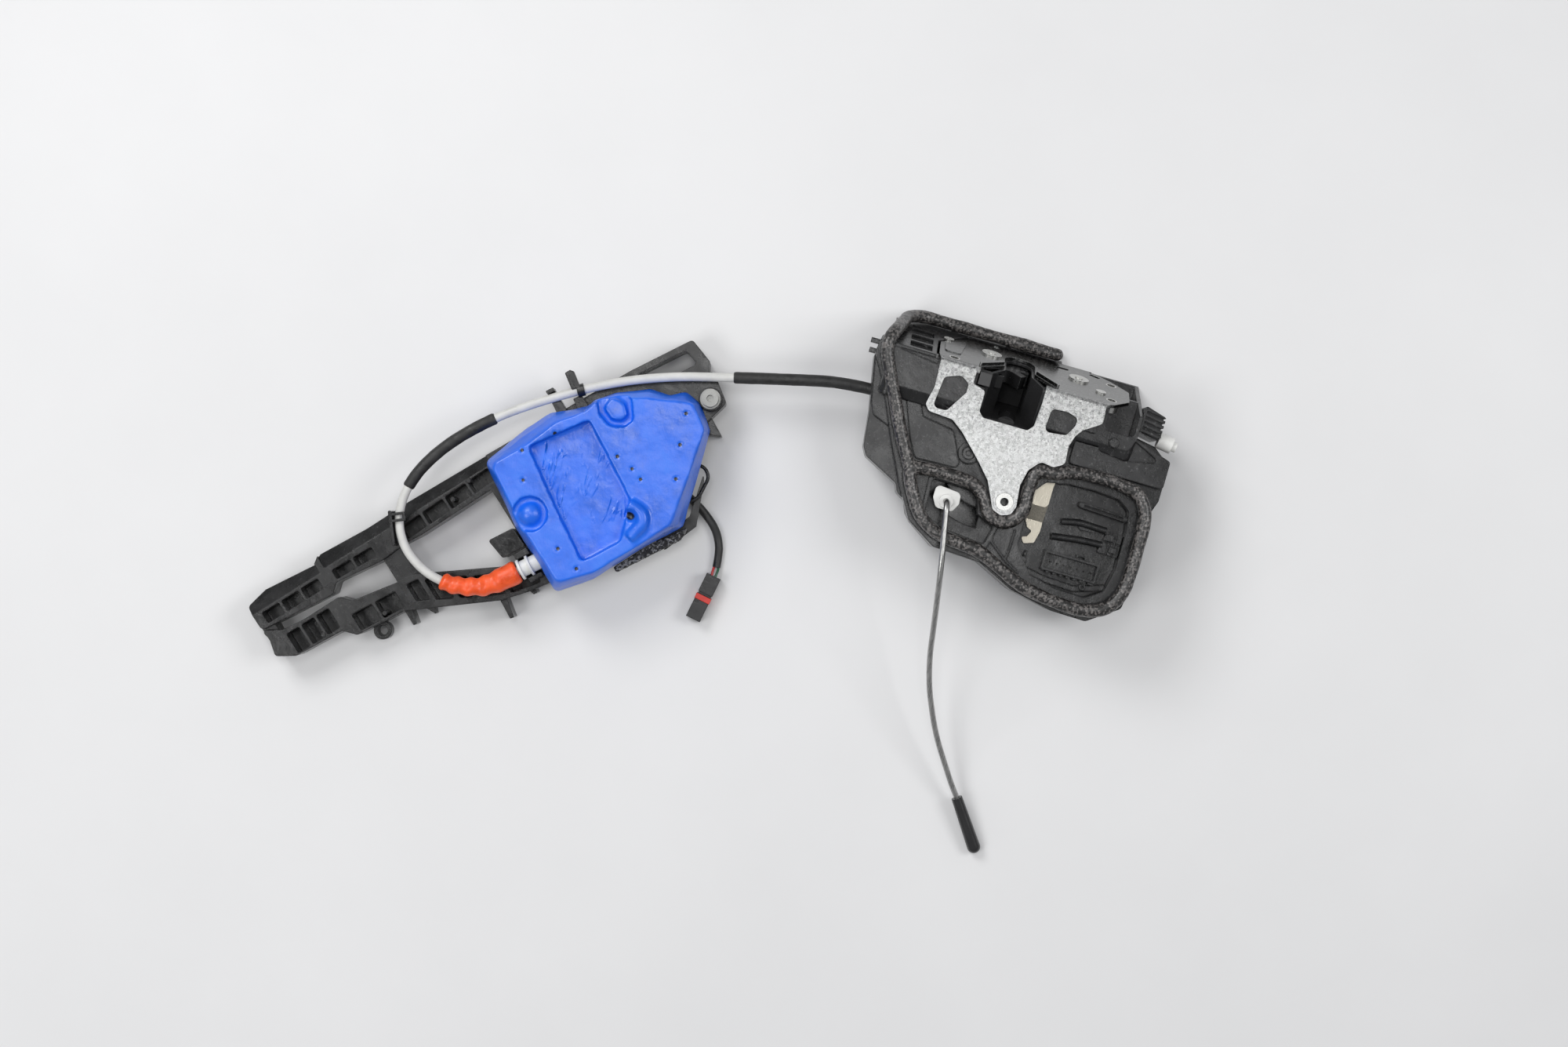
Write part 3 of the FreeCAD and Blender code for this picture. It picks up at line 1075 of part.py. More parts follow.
def plug_body():
    start = plug_start
    along = plug_along
    body = box(-4.7, 0, -5, 4.7, 12, 4.6)
    nose = box(-4.2, 12, -4.6, 4.2, 13.4, 4.2)
    mate = cut(box(-4.7, 17, -5, 4.7, 29.3, 4.6), box(-3.6, 20, -3.9, 3.6, 30, 3.5))
    link = box(-3.5, 13, -4, 3.5, 18, 3.6)
    whole = fuse(body, nose, link, mate)
    turn = FreeCAD.Placement(start, FreeCAD.Rotation(V(0, 1, 0), along))
    return place(whole, turn).cut(lead_wires())


def plug_seal():
    start = plug_start
    along = plug_along
    band = cut(box(-5.0, 13.5, -5, 5.0, 16.9, 4.9), box(-3.5, 0, -4, 3.5, 30, 3.6))
    turn = FreeCAD.Placement(start, FreeCAD.Rotation(V(0, 1, 0), along))
    return place(band, turn)


left_sleeve = [(-86, 45.1, cable_z)] + cable_points[1:4]
left_sleeve[-1] = between(cable_points[2], cable_points[3], 0.8)
loop_sleeve = [between(cable_points[7], cable_points[8], 0.1)] + cable_points[8:10]
loop_sleeve[-1] = between(cable_points[8], cable_points[9], 0.9)

pieces = {
    "latch_plate": latch_plate, "plate_nut": plate_nut, "flange_nuts": flange_nuts,
    "latch_housing": latch_housing, "latch_cover": latch_cover, "latch_seal": latch_seal,
    "mouth_liner": mouth_liner, "fork": fork, "pawl": pawl,
    "fork_pin": lambda: pivot_pin(claw_x, claw_w),
    "pawl_pin": lambda: pivot_pin(pawl_x, pawl_w),
    "fork_spring": lambda: torsion_spring(claw_x, claw_w, 130),
    "pawl_spring": lambda: torsion_spring(pawl_x, pawl_w, 20),
    "back_plate": back_plate, "frame_rivets": frame_rivets, "release_link": release_link,
    "latch_core": latch_core, "striker_buffer": striker_buffer, "lock_lever": lock_lever,
    "rod_clip": rod_clip, "lock_rod": lock_rod, "lock_rod_cap": rod_cap,
    "drive_gear": drive_gear, "motor_pinion": motor_pinion, "lock_motor": lock_motor,
    "gear_shafts": gear_shafts, "inside_release_lever": inside_release_lever,
    "connector_socket": connector_socket, "cable_guides": cable_guides,
    "cable_clip": cable_clip, "contact_pins": contact_pins,
    "cover_screw": cover_screw, "microswitches": microswitches,
    "ribbed_side_cover": ribbed_side_cover, "side_plug": side_plug,
    "handle_carrier": handle_carrier, "foam_cover": foam_cover, "bellcrank": bellcrank,
    "counterweight": counterweight, "bellcrank_pin": bellcrank_pin,
    "bellcrank_spring": bellcrank_spring, "cable_nipple": cable_nipple,
    "carrier_core": carrier_core, "carrier_screw": carrier_screw, "felt_strip": felt_strip,
    "gloss_bar": gloss_bar, "sensor_box": sensor_box, "cable_sheath": cable_sheath,
    "sleeve_latch": lambda: sleeve(left_sleeve), "sleeve_loop": lambda: sleeve(loop_sleeve),
    "cable_boot": cable_boot, "cable_end_fitting": cable_end_fitting,
    "lead_sheath": lead_sheath, "lead_wires": lead_wires, "plug_body": plug_body,
    "plug_seal": plug_seal}

for name, make in pieces.items():
    export(name, make())
for label, points in [("cable", cable_points), ("lead", lead_points), ("rod", rod_points)]:
    print(label, "radii", [round(r, 1) for r in route(points)[1]])
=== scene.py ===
import math

import bmesh
import bpy
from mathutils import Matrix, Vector, noise


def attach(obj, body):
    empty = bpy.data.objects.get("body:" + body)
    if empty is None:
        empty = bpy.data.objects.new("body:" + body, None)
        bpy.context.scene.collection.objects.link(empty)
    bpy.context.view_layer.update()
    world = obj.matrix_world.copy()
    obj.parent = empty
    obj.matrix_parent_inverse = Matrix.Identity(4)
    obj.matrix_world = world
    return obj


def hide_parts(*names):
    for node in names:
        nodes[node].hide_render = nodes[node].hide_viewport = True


# A car door lock laid on a pale bench, seen from straight above. Metres throughout.

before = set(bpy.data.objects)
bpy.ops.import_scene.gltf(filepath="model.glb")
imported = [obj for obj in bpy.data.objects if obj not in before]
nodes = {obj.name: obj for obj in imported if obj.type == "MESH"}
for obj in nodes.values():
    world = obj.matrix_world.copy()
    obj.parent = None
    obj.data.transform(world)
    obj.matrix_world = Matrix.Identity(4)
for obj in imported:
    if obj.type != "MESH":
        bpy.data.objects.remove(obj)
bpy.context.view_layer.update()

bl_info = {
    "name": "Car door lock",
    "version": (1, 0, 0),
    "blender": (4, 5, 0),
    "location": "View3D > Sidebar > Door lock",
    "description": "Dresses a car door lock and its outer handle carrier",
    "category": "Object",
}

BENCH = -0.066             # what the parts lie on
BENCH_WIDTH = 6.0
CABLE_LEVEL = -0.036       # the middle of the cable

# The cable's route from the latch to the handle carrier
CABLE_ROUTE = [
    (-0.078, 0.0451), (-0.108, 0.0451), (-0.144, 0.0365), (-0.180, 0.0275), (-0.214, 0.0185),
    (-0.248, 0.0045), (-0.281, -0.015), (-0.310, -0.0355), (-0.334, -0.060), (-0.3475, -0.084),
    (-0.350, -0.106), (-0.3425, -0.124), (-0.327, -0.136), (-0.309, -0.1405), (-0.292, -0.138),
    (-0.280, -0.1305), (-0.268742, -0.11995)]

# Where the cable's sleeves and boot begin and end: places, or lengths along the cable
LATCH_SLEEVE_START = 0.008
LATCH_SLEEVE_END = (-0.1753, 0.028, CABLE_LEVEL)
LOOP_SLEEVE_START = (-0.3086, -0.0345, CABLE_LEVEL)
LOOP_SLEEVE_END = (-0.3490, -0.0897, CABLE_LEVEL)
BOOT_START = (-0.3125, -0.1395, CABLE_LEVEL)
BOOT_SHORT_OF_END = 0.0015

# The black sleeves' uneven surface, and how their ends are rolled in
SLEEVE_STEP = 0.0010
SLEEVE_RIPPLES = 14.0
SLEEVE_RIPPLE = 0.00016
SLEEVE_ROLL = 0.0005
SLEEVE_ROLL_STEEPNESS = 60.0

# The boot's soft folds; from a share of its length on, they lose most of their height
BOOT_STEP = 0.0005
BOOT_SIDES = 48
BOOT_FOLDS = 5.5
BOOT_FOLD_HEIGHT = 0.00048
BOOT_CALM_FROM, BOOT_CALM_OVER, BOOT_CALM = 0.6, 0.2, 0.7
BOOT_ROLL = 0.0008
BOOT_ROLL_STEEPNESS = 30.0
BOOT_INSET = 0.0002

# The short lead from under the foam cover to its plug
LEAD_ROUTE = [
    (-0.187, -0.0465, -0.058), (-0.1785, -0.051, -0.0625), (-0.1705, -0.0559, -0.0635),
    (-0.1618, -0.0633, -0.0635), (-0.157, -0.0721, -0.0635), (-0.1554, -0.080, -0.0635),
    (-0.1549, -0.086, -0.0635)]

# The two cores between lead and plug: x, y, z and how many offsets a core runs aside there
CORE_ROUTE = [
    (-0.1549, -0.0845, -0.0635, 1.0), (-0.1549, -0.0868, -0.0630, 1.4),
    (-0.1550, -0.0893, -0.0615, 1.3), (-0.1551, -0.0925, -0.0610, 1.0)]
CORE_OFFSET = 0.0011
CORE_RADIUS = 0.0008

# Where the handle carrier lies: its corner's place and its turn on the bench
CARRIER_CORNER = (-0.4157, -0.1996)
CARRIER_TURN = math.radians(48.0)

# The foam cover's recess, small vents and torn vent, along and across from the carrier's corner
RECESS = [(0.205, 0.002), (0.241, -0.004), (0.2365, -0.055), (0.219, -0.072), (0.195, -0.071),
          (0.199, -0.042)]
VENTS = [(0.190, -0.012), (0.199, 0.0035), (0.221, 0.0015), (0.243, 0.0045), (0.2455, -0.030),
         (0.249, -0.041), (0.294, -0.030), (0.281, -0.044), (0.250, -0.049), (0.186, -0.058),
         (0.189, -0.074), (0.268, -0.060)]
TEAR = (0.2335, -0.0640)
VENT_LEVEL = -0.0145
TEAR_LEVEL = -0.016
RECESS_LEVEL = -0.024      # the recess's floor lies above this
# The spots' widths are those of the painted shade at the vents and the tear; the radius and depth are
# the dents'.
VENT_SPOT, VENT_RADIUS, VENT_DEPTH = 0.0014, 0.0016, 0.0012
TEAR_SPOT, TEAR_RADIUS, TEAR_DEPTH = 0.0038, 0.0042, 0.0030
DENT_REACH = 0.008         # what lies further under a dent's place stays as it is
WRINKLES_IN_RECESS, WRINKLES_OUTSIDE = 1.0, 0.05

# Soft surfaces: waves in a metre and how far they stand out, and how often edges are rounded
FOAM_WAVES, FOAM_SWELL = 45.0, 0.0004
FOAM_ROUNDS, SEAL_ROUNDS, FELT_ROUNDS = 5, 6, 3
BOOT_SWELL = [(60.0, 0.0009)]
SEAL_SWELL = [(60.0, 0.0005), (350.0, 0.00015)]
FELT_SWELL = [(700.0, 0.0005)]
FELT_DETAIL = 0.0008

# Camera and light
CAMERA_PLACE = (-0.1221, -0.04833)
CAMERA_TURN = math.radians(16.0)
SENSOR_WIDTH = 36.0
LAMPS = [           # name, place, width, power
    ("left", (-1.25, 0.75, 1.35), 0.8, 16.0), ("right", (1.15, 0.55, 1.45), 0.8, 12.0),
    ("front", (-0.95, -0.75, 1.5), 0.7, 8.0), ("top", (-0.36, 0.25, 1.75), 0.35, 3.5),
    ("window", (0.06, 0.0, 1.75), 0.30, 1.6)]
LIT_PLACE = (-0.12, -0.05, 0.0)
SKY_COLOUR = (0.97, 0.98, 1.0)
SKY_STRENGTH = 0.30


def colour_setting(name, description, default):
    return bpy.props.FloatVectorProperty(
        name=name, description=description, subtype="COLOR", size=3, min=0.0, max=1.0,
        default=default)


def length_setting(name, description, default):
    return bpy.props.FloatProperty(
        name=name, description=description, unit="LENGTH", min=0.0, default=default)


class LockColours(bpy.types.PropertyGroup):
    """Colours of the lock's finishes."""
    zinc: colour_setting("Zinc sheet", "Bright plated steel of the frame", (0.54, 0.545, 0.54))
    moulding: colour_setting("Mouldings", "Black plastic of the housing", (0.013, 0.013, 0.0135))
    foam: colour_setting("Foam cover", "Skin of the moulded foam", (0.002, 0.125, 0.76))
    seal: colour_setting("Weather seal", "Cellular rubber", (0.013, 0.012, 0.0115))
    sheath: colour_setting("Cable sheath", "Outer skin of the cable", (0.60, 0.60, 0.58))
    boot: colour_setting("Cable boot", "Rubber boot at the handle", (0.88, 0.10, 0.02))
    hook: colour_setting("Hook lever", "Pale plated inside lever", (0.50, 0.465, 0.39))
    white: colour_setting("White plastic", "Lever, gear, clip and fittings", (0.74, 0.74, 0.72))


class LockSizes(bpy.types.PropertyGroup):
    """Sizes of the cords and soft pieces."""
    cable: length_setting("Cable radius", "Outer radius of the sheath", 0.00275)
    sleeve: length_setting("Sleeve radius", "Radius of the black sleeves", 0.0036)
    lead: length_setting("Lead radius", "Outer radius of the lead", 0.0025)
    boot_small: length_setting("Boot, thin end", "Radius where it grips the cable", 0.0049)
    boot_large: length_setting("Boot, wide end", "Radius at the handle", 0.0073)
    foam_voxel: length_setting("Foam detail", "Mesh size on the foam cover", 0.0010)
    seal_voxel: length_setting("Seal detail", "Mesh size on the weather seal", 0.0010)


class LockStage(bpy.types.PropertyGroup):
    """The bench and camera."""
    bench: colour_setting("Bench", "Pale bench top", (0.735, 0.735, 0.74))
    camera_height: length_setting("Camera height", "Above the frame plate", 1.4)
    lens: bpy.props.FloatProperty(
        name="Lens", description="Focal length on a 36 mm wide sensor", unit="CAMERA", default=54.2)


# Materials

def new_finish(name, colour, roughness, metallic=0.0):
    material = bpy.data.materials.new(name)
    material.use_nodes = True
    tree = material.node_tree
    shader = tree.nodes["Principled BSDF"]
    shader.inputs["Base Color"].default_value = (*colour, 1.0)
    shader.inputs["Roughness"].default_value = roughness
    shader.inputs["Metallic"].default_value = metallic
    return material, tree, shader


def position(tree, stretch=(1.0, 1.0, 1.0), turn=0.0):
    """A place on the piece, for patterns that may be stretched and turned about Z."""
    coordinates = tree.nodes.new("ShaderNodeTexCoord")
    mapping = tree.nodes.new("ShaderNodeMapping")
    mapping.inputs["Scale"].default_value = stretch
    mapping.inputs["Rotation"].default_value = (0.0, 0.0, turn)
    tree.links.new(coordinates.outputs["Object"], mapping.inputs["Vector"])
    return mapping.outputs["Vector"]


def cloud(tree, where, size, detail=4.0, roughness=0.6, distortion=0.0):
    node = tree.nodes.new("ShaderNodeTexNoise")
    node.inputs["Scale"].default_value = 1.0 / size
    node.inputs["Detail"].default_value = detail
    node.inputs["Roughness"].default_value = roughness
    node.inputs["Distortion"].default_value = distortion
    tree.links.new(where, node.inputs["Vector"])
    return node.outputs["Fac"]


def crystals(tree, where, size, output="Distance"):
    node = tree.nodes.new("ShaderNodeTexVoronoi")
    node.inputs["Scale"].default_value = 1.0 / size
    tree.links.new(where, node.inputs["Vector"])
    return node.outputs[output]


def lightness(tree, colour):
    node = tree.nodes.new("ShaderNodeRGBToBW")
    tree.links.new(colour, node.inputs["Color"])
    return node.outputs["Val"]


def worked_out(tree, operation, *terms):
    """The result of a Math node; each term is a socket or a plain number."""
    node = tree.nodes.new("ShaderNodeMath")
    node.operation = operation
    for socket, term in zip(node.inputs, terms):
        if isinstance(term, float):
            socket.default_value = term
        else:
            tree.links.new(term, socket)
    return node.outputs["Value"]


def graded(tree, value, low, high, start=0.3, end=0.7):
    """Goes from low to high as the value goes from start to end."""
    node = tree.nodes.new("ShaderNodeMapRange")
    node.inputs["From Min"].default_value = start
    node.inputs["From Max"].default_value = end
    node.inputs["To Min"].default_value = low
    node.inputs["To Max"].default_value = high
    tree.links.new(value, node.inputs["Value"])
    return node.outputs["Result"]


def set_gloss(tree, shader, value, low, high, start=0.3, end=0.7):
    tree.links.new(graded(tree, value, low, high, start, end), shader.inputs["Roughness"])


def set_colours(tree, shader, value, stops):
    """Colours the shader by the value; stops are the colours and the values they stand at."""
    ramp = tree.nodes.new("ShaderNodeValToRGB")
    bands = ramp.color_ramp.elements
    while len(bands) < len(stops):
        bands.new(0.5)
    for band, (place, colour) in zip(bands, stops):
        band.position = place
        band.color = (*colour, 1.0)
    tree.links.new(value, ramp.inputs["Fac"])
    tree.links.new(ramp.outputs["Color"], shader.inputs["Base Color"])


def times(colour, amount):
    return tuple(min(1.0, c * amount) for c in colour)


def add_relief(tree, shader, height, depth, strength=1.0):
    """Adds a bump on top of any that the shader already has."""
    bump = tree.nodes.new("ShaderNodeBump")
    bump.inputs["Strength"].default_value = strength
    bump.inputs["Distance"].default_value = depth
    tree.links.new(height, bump.inputs["Height"])
    if shader.inputs["Normal"].is_linked:
        tree.links.new(shader.inputs["Normal"].links[0].from_socket, bump.inputs["Normal"])
    tree.links.new(bump.outputs["Normal"], shader.inputs["Normal"])


def ease_edges(tree, shader, radius):
    """Shades sharp edges as if they were rounded off, as a mould leaves them."""
    edge = tree.nodes.new("ShaderNodeBevel")
    edge.samples = 4
    edge.inputs["Radius"].default_value = radius
    tree.links.new(edge.outputs["Normal"], shader.inputs["Normal"])


def moulded(name, colour, roughness, grain=0.0006, depth=0.00004, patch=0.02, vary=0.25, edge=0.0,
            dust=0.0):
    """Injection moulded plastic: a spark-eroded grain, uneven gloss and a little dust."""
    material, tree, shader = new_finish(name, colour, roughness)
    if edge > 0.0:
        ease_edges(tree, shader, edge)
    where = position(tree)
    wide = cloud(tree, where, patch, detail=5.0)
    fine = cloud(tree, where, grain, detail=2.0)
    stops = [(0.3, times(colour, 1 - vary)), (0.7, times(colour, 1 + vary))]
    tone = wide
    if dust > 0.0:
        specks = cloud(tree, where, 0.0022, detail=6.0, roughness=0.85)
        dusty = graded(tree, specks, 0.0, 1.0, start=0.54, end=0.74)
        tone = worked_out(tree, "MULTIPLY_ADD", dusty, 0.75, wide)
        stops.append((1.0, tuple(c + dust for c in colour)))
    set_colours(tree, shader, tone, stops)
    set_gloss(tree, shader, wide, roughness * 0.6, roughness * 1.5)
    add_relief(tree, shader, fine, depth)
    add_relief(tree, shader, wide, depth * 10.0)
    return material


def spangled(name, colour, roughness):
    """Zinc sheet: crystals that catch the light; painted shade darkens it towards the bend, and below
    the bend it is dark painted shade and smooth.
    """
    bend_top, bend_foot = -0.0015, -0.006
    # Painted shade deepens along Y from the first place to the second, towards the bend.
    painted_shade_from, painted_shade_deepest_at = 0.030, 0.068
    material, tree, shader = new_finish(name, colour, roughness, metallic=1.0)
    ease_edges(tree, shader, 0.0004)
    where = position(tree)
    flakes = lightness(tree, crystals(tree, where, 0.0013, "Color"))
    speck = cloud(tree, where, 0.0007, detail=3.0, roughness=0.8)
    parts = tree.nodes.new("ShaderNodeSeparateXYZ")
    tree.links.new(where, parts.inputs["Vector"])
    # Painted shade: the flange below the bend is coloured darker, and the sheet darkens towards the
    # bend.
    flange_painted_shade = graded(tree, parts.outputs["Z"], 1.0, 0.0, bend_foot, bend_top)
    bend_painted_shade = graded(tree, parts.outputs["Y"], 0.0, 1.0, painted_shade_from, painted_shade_deepest_at)
    value = worked_out(tree, "MULTIPLY_ADD", flakes, 0.35, speck)
    value = worked_out(tree, "MULTIPLY_ADD", flange_painted_shade, -0.36, value)
    value = worked_out(tree, "MULTIPLY_ADD", bend_painted_shade, -0.16, value)
    set_colours(tree, shader, value, [
        (0.05, times(colour, 0.30)), (0.40, times(colour, 0.48)),
        (0.60, times(colour, 0.92)), (0.90, times(colour, 1.4))])
    set_gloss(tree, shader, value, roughness * 0.6, roughness * 1.35, start=0.1, end=1.0)
    scratches = cloud(tree, position(tree, (1.0, 14.0, 1.0), 0.5), 0.01, detail=3.0)
    smoothed = graded(tree, parts.outputs["Z"], 0.02, 1.0, bend_foot, bend_top)
    grains = worked_out(tree, "MULTIPLY", speck, smoothed)
    add_relief(tree, shader, scratches, 0.00002, strength=0.3)
    add_relief(tree, shader, grains, 0.00030)
    return material


def drawn(name, colour, roughness, stretch=(1.0, 1.0, 0.06)):
    """Bright metal with fine marks along one way."""
    material, tree, shader = new_finish(name, colour, roughness, metallic=1.0)
    streaks = cloud(tree, position(tree, stretch), 0.0006, detail=3.0)
    set_colours(tree, shader, streaks, [(0.3, times(colour, 0.75)), (0.7, times(colour, 1.15))])
    set_gloss(tree, shader, streaks, roughness * 0.7, roughness * 1.4)
    add_relief(tree, shader, streaks, 0.00002)
    return material


def cellular(name, colour, roughness):
    """Foam rubber: a close cell texture with painted glints in its palest cells, and a slightly
    greasy skin.
    """
    cell = 0.0011
    material, tree, shader = new_finish(name, colour, roughness)
    where = position(tree)
    walls = crystals(tree, where, cell)
    wide = cloud(tree, where, 0.012, detail=5.0, roughness=0.7)
    # Painted glints: the palest cells are coloured up to ten times brighter; the same value also
    # gives the cells' bump.
    cells_and_painted_glints = lightness(tree, crystals(tree, where, cell, "Color"))
    tone = worked_out(tree, "MULTIPLY_ADD", wide, 0.6, cells_and_painted_glints)
    set_colours(tree, shader, tone, [
        (0.45, times(colour, 0.3)), (0.80, colour), (1.15, times(colour, 10.0))])
    set_gloss(tree, shader, walls, roughness * 0.75, roughness * 1.2, start=0.1, end=0.8)
    shader.inputs["Specular IOR Level"].default_value = 0.75
    add_relief(tree, shader, cells_and_painted_glints, 0.00045, strength=0.8)
    add_relief(tree, shader, cloud(tree, where, 0.004), 0.0004, strength=0.5)
    return material


def creased(tree, turn, size, share):
    """Long thin creases along one way, fading in and out; share says where they may run."""
    level = cloud(tree, position(tree, (1.0, 0.25, 1.0), turn), size, detail=2.0, roughness=0.5)
    from_middle = worked_out(tree, "ABSOLUTE", worked_out(tree, "SUBTRACT", level, 0.5))
    lines = graded(tree, from_middle, 1.0, 0.0, start=0.0, end=0.035)
    patches = graded(tree, cloud(tree, position(tree), 0.018, detail=2.0), 0.0, 1.0, 0.47, 0.6)
    return worked_out(tree, "MULTIPLY", worked_out(tree, "MULTIPLY", lines, patches), share)


def nearest_spot(tree, where, spots):
    """How far the nearest spot is, in widths of that spot; spots are places and widths."""
    nearest = None
    for place, width in spots:
        reach = tree.nodes.new("ShaderNodeVectorMath")
        reach.operation = "DISTANCE"
        reach.inputs[1].default_value = place
        tree.links.new(where, reach.inputs[0])
        widths = worked_out(tree, "DIVIDE", reach.outputs["Value"], width)
        if nearest is None:
            nearest = widths
        else:
            nearest = worked_out(tree, "MINIMUM", nearest, widths)
    return nearest


def foam_skin(name, colour, spots):
    """The skin of moulded foam: glossy, with pits, creases, paler patches, and dark painted shade at
    the vent holes and the tear.
    """
    material, tree, shader = new_finish(name, colour, 0.42)
    where = position(tree)
    wide = cloud(tree, where, 0.030, detail=6.0, roughness=0.65)
    pits = crystals(tree, where, 0.0016)
    creases = cloud(tree, position(tree, (1.0, 0.35, 1.0), 0.7), 0.006, detail=5.0, roughness=0.7,
                    distortion=0.6)
    wrinkled = tree.nodes.new("ShaderNodeAttribute")
    wrinkled.attribute_name = "wrinkled"
    folds = [creased(tree, turn, size, wrinkled.outputs["Fac"])
             for turn, size in ((0.75, 0.016), (-0.35, 0.011))]
    # Painted shade: the colour falls to near black at the vent holes and the tear.
    painted_hole_shade = graded(tree, nearest_spot(tree, where, spots), 0.9, 0.0, start=0.5, end=1.0)
    skin = graded(tree, wide, 0.35, 0.9, start=0.3, end=0.75)
    paler = (colour[0] * 2.0, colour[1] * 1.3, colour[2] * 1.08)
    set_colours(tree, shader, worked_out(tree, "SUBTRACT", skin, painted_hole_shade), [
        (0.0, times(colour, 0.02)), (0.3, times(colour, 0.68)), (0.6, colour), (0.9, paler)])
    set_gloss(tree, shader, wide, 0.26, 0.44)
    shader.inputs["Specular IOR Level"].default_value = 0.8
    add_relief(tree, shader, pits, 0.00005, strength=0.6)
    add_relief(tree, shader, creases, 0.0005, strength=0.4)
    for fold in folds:
        add_relief(tree, shader, fold, 0.0006, strength=0.7)
    return material


def dress(material, *names):
    for name in names:
        slots = nodes[name].data.materials
        slots.clear()
        slots.append(material)


# Modelling

def clear_selection():
    if bpy.context.object and bpy.context.object.mode != "OBJECT":
        bpy.ops.object.mode_set(mode="OBJECT")
    bpy.ops.object.select_all(action="DESELECT")


def select_only(piece):
    clear_selection()
    piece.select_set(True)
    bpy.context.view_layer.objects.active = piece


def finish_modifiers(piece):
    select_only(piece)
    for modifier in list(piece.modifiers):
        bpy.ops.object.modifier_apply(modifier=modifier.name)


def linked(name, mesh, material):
    piece = bpy.data.objects.new(name, mesh)
    bpy.context.scene.collection.objects.link(piece)
    piece.data.materials.clear()
    piece.data.materials.append(material)
    return piece


def cord_curve(name, points, radius, material):
    """A smooth cord whose route's points are its control points."""
    curve = bpy.data.curves.new(name, "CURVE")
    curve.dimensions = "3D"
    spline = curve.splines.new("NURBS")
    spline.points.add(len(points) - 1)
    for knot, point in zip(spline.points, points):
        knot.co = (*point, 1.0)
    spline.order_u = 3
    spline.use_endpoint_u = True
    spline.resolution_u = 24
    curve.bevel_depth = radius
    curve.bevel_resolution = 8
    curve.use_fill_caps = True
    return linked(name, curve, material)


def centre_line(piece):
    """The points that a cord's spline passes, read with no bevel."""
    depth = piece.data.bevel_depth
    piece.data.bevel_depth = 0.0
    bpy.context.view_layer.update()
    bare = piece.evaluated_get(bpy.context.evaluated_depsgraph_get())
    mesh = bpy.data.meshes.new_from_object(bare)
    points = [v.co.copy() for v in mesh.vertices]
    bpy.data.meshes.remove(mesh)
    piece.data.bevel_depth = depth
    return points


def stretch_of(points, start, end, step):
    """Points from start to end along a line, in metres of its length, a step apart."""
    along = [0.0]
    for a, b in zip(points, points[1:]):
        along.append(along[-1] + (b - a).length)
    count = max(2, round((end - start) / step))
    found = []
    for i in range(count + 1):
        reach = start + (end - start) * i / count
        j = 0
        while j < len(along) - 2 and along[j + 1] < reach:
            j += 1
        share = (reach - along[j]) / (along[j + 1] - along[j])
        found.append(points[j].lerp(points[j + 1], share))
    return found


def line_length(points):
    return sum((b - a).length for a, b in zip(points, points[1:]))


def nearest_reach(points, place):
    """How far along the line its nearest point to a place is."""
    place = Vector(place)
    nearest = min(range(len(points)), key=lambda i: (points[i] - place).length)
    return line_length(points[:nearest + 1])


def skin_along(name, points, radius_at, material, sides=28):
    """A closed tube; radius_at gives its radius for a share of its length and an angle."""
    up = Vector((0, 0, 1))
    mesh = bpy.data.meshes.new(name)
    shape = bmesh.new()
    rings = []
    for i, point in enumerate(points):
        ahead = points[min(i + 1, len(points) - 1)] - points[max(i - 1, 0)]
        side = ahead.cross(up).normalized()
        top = side.cross(ahead).normalized()
        ring = []
        for k in range(sides):
            turn = 2 * math.pi * k / sides
            outward = side * math.cos(turn) + top * math.sin(turn)
            ring.append(shape.verts.new(point + outward * radius_at(i / (len(points) - 1), turn)))
        rings.append(ring)
    for a, b in zip(rings, rings[1:]):
        for k in range(sides):
            shape.faces.new([a[k], a[(k + 1) % sides], b[(k + 1) % sides], b[k]])
    shape.faces.new(rings[0])
    shape.faces.new(rings[-1])
    bmesh.ops.recalc_face_normals(shape, faces=shape.faces)
    shape.to_mesh(mesh)
    shape.free()
    piece = linked(name, mesh, material)
    select_only(piece)
    bpy.ops.object.shade_smooth_by_angle(angle=math.radians(40))
    return piece


def rolled_in(share, steepness):
    """1 at both ends of a tube, falling to 0 in one part in so many of its length."""
    return max(0.0, 1.0 - steepness * min(share, 1.0 - share)) ** 2


def soft_copy(name, node, voxel, rounds, material):
    """A copy of a solid with its edges rolled over, as moulded foam has them."""
    mesh = nodes[node].data.copy()
    piece = linked(name, mesh, material)
    select_only(piece)
    bpy.ops.object.mode_set(mode="EDIT")
    bpy.ops.mesh.select_all(action="SELECT")
    bpy.ops.mesh.remove_doubles(threshold=1e-6)
    bpy.ops.object.mode_set(mode="OBJECT")
    remesh = piece.modifiers.new("even mesh", "REMESH")
    remesh.mode = "VOXEL"
    remesh.voxel_size = voxel
    smooth = piece.modifiers.new("rolled edges", "SMOOTH")
    smooth.factor = 0.5
    smooth.iterations = rounds
    finish_modifiers(piece)
    select_only(piece)
    bpy.ops.object.shade_smooth()
    return piece


def push(piece, height_at):
    """Moves every point of a piece outwards by the height that height_at gives for it."""
    normals = [v.normal.copy() for v in piece.data.vertices]
    for point, normal in zip(piece.data.vertices, normals):
        point.co = point.co + normal * height_at(point.co)
    piece.data.update()


def swollen(layers):
    """An uneven height for push; layers are waves in a metre and how far they stand out."""
    return lambda co: sum(noise.noise(co * waves) * height for waves, height in layers)


def carrier_point(p, q, z):
    """A place given from the carrier's corner, along it and across it."""
    along, across = math.cos(CARRIER_TURN), math.sin(CARRIER_TURN)
    return Vector((CARRIER_CORNER[0] + p * along - q * across,
                   CARRIER_CORNER[1] + p * across + q * along, z))


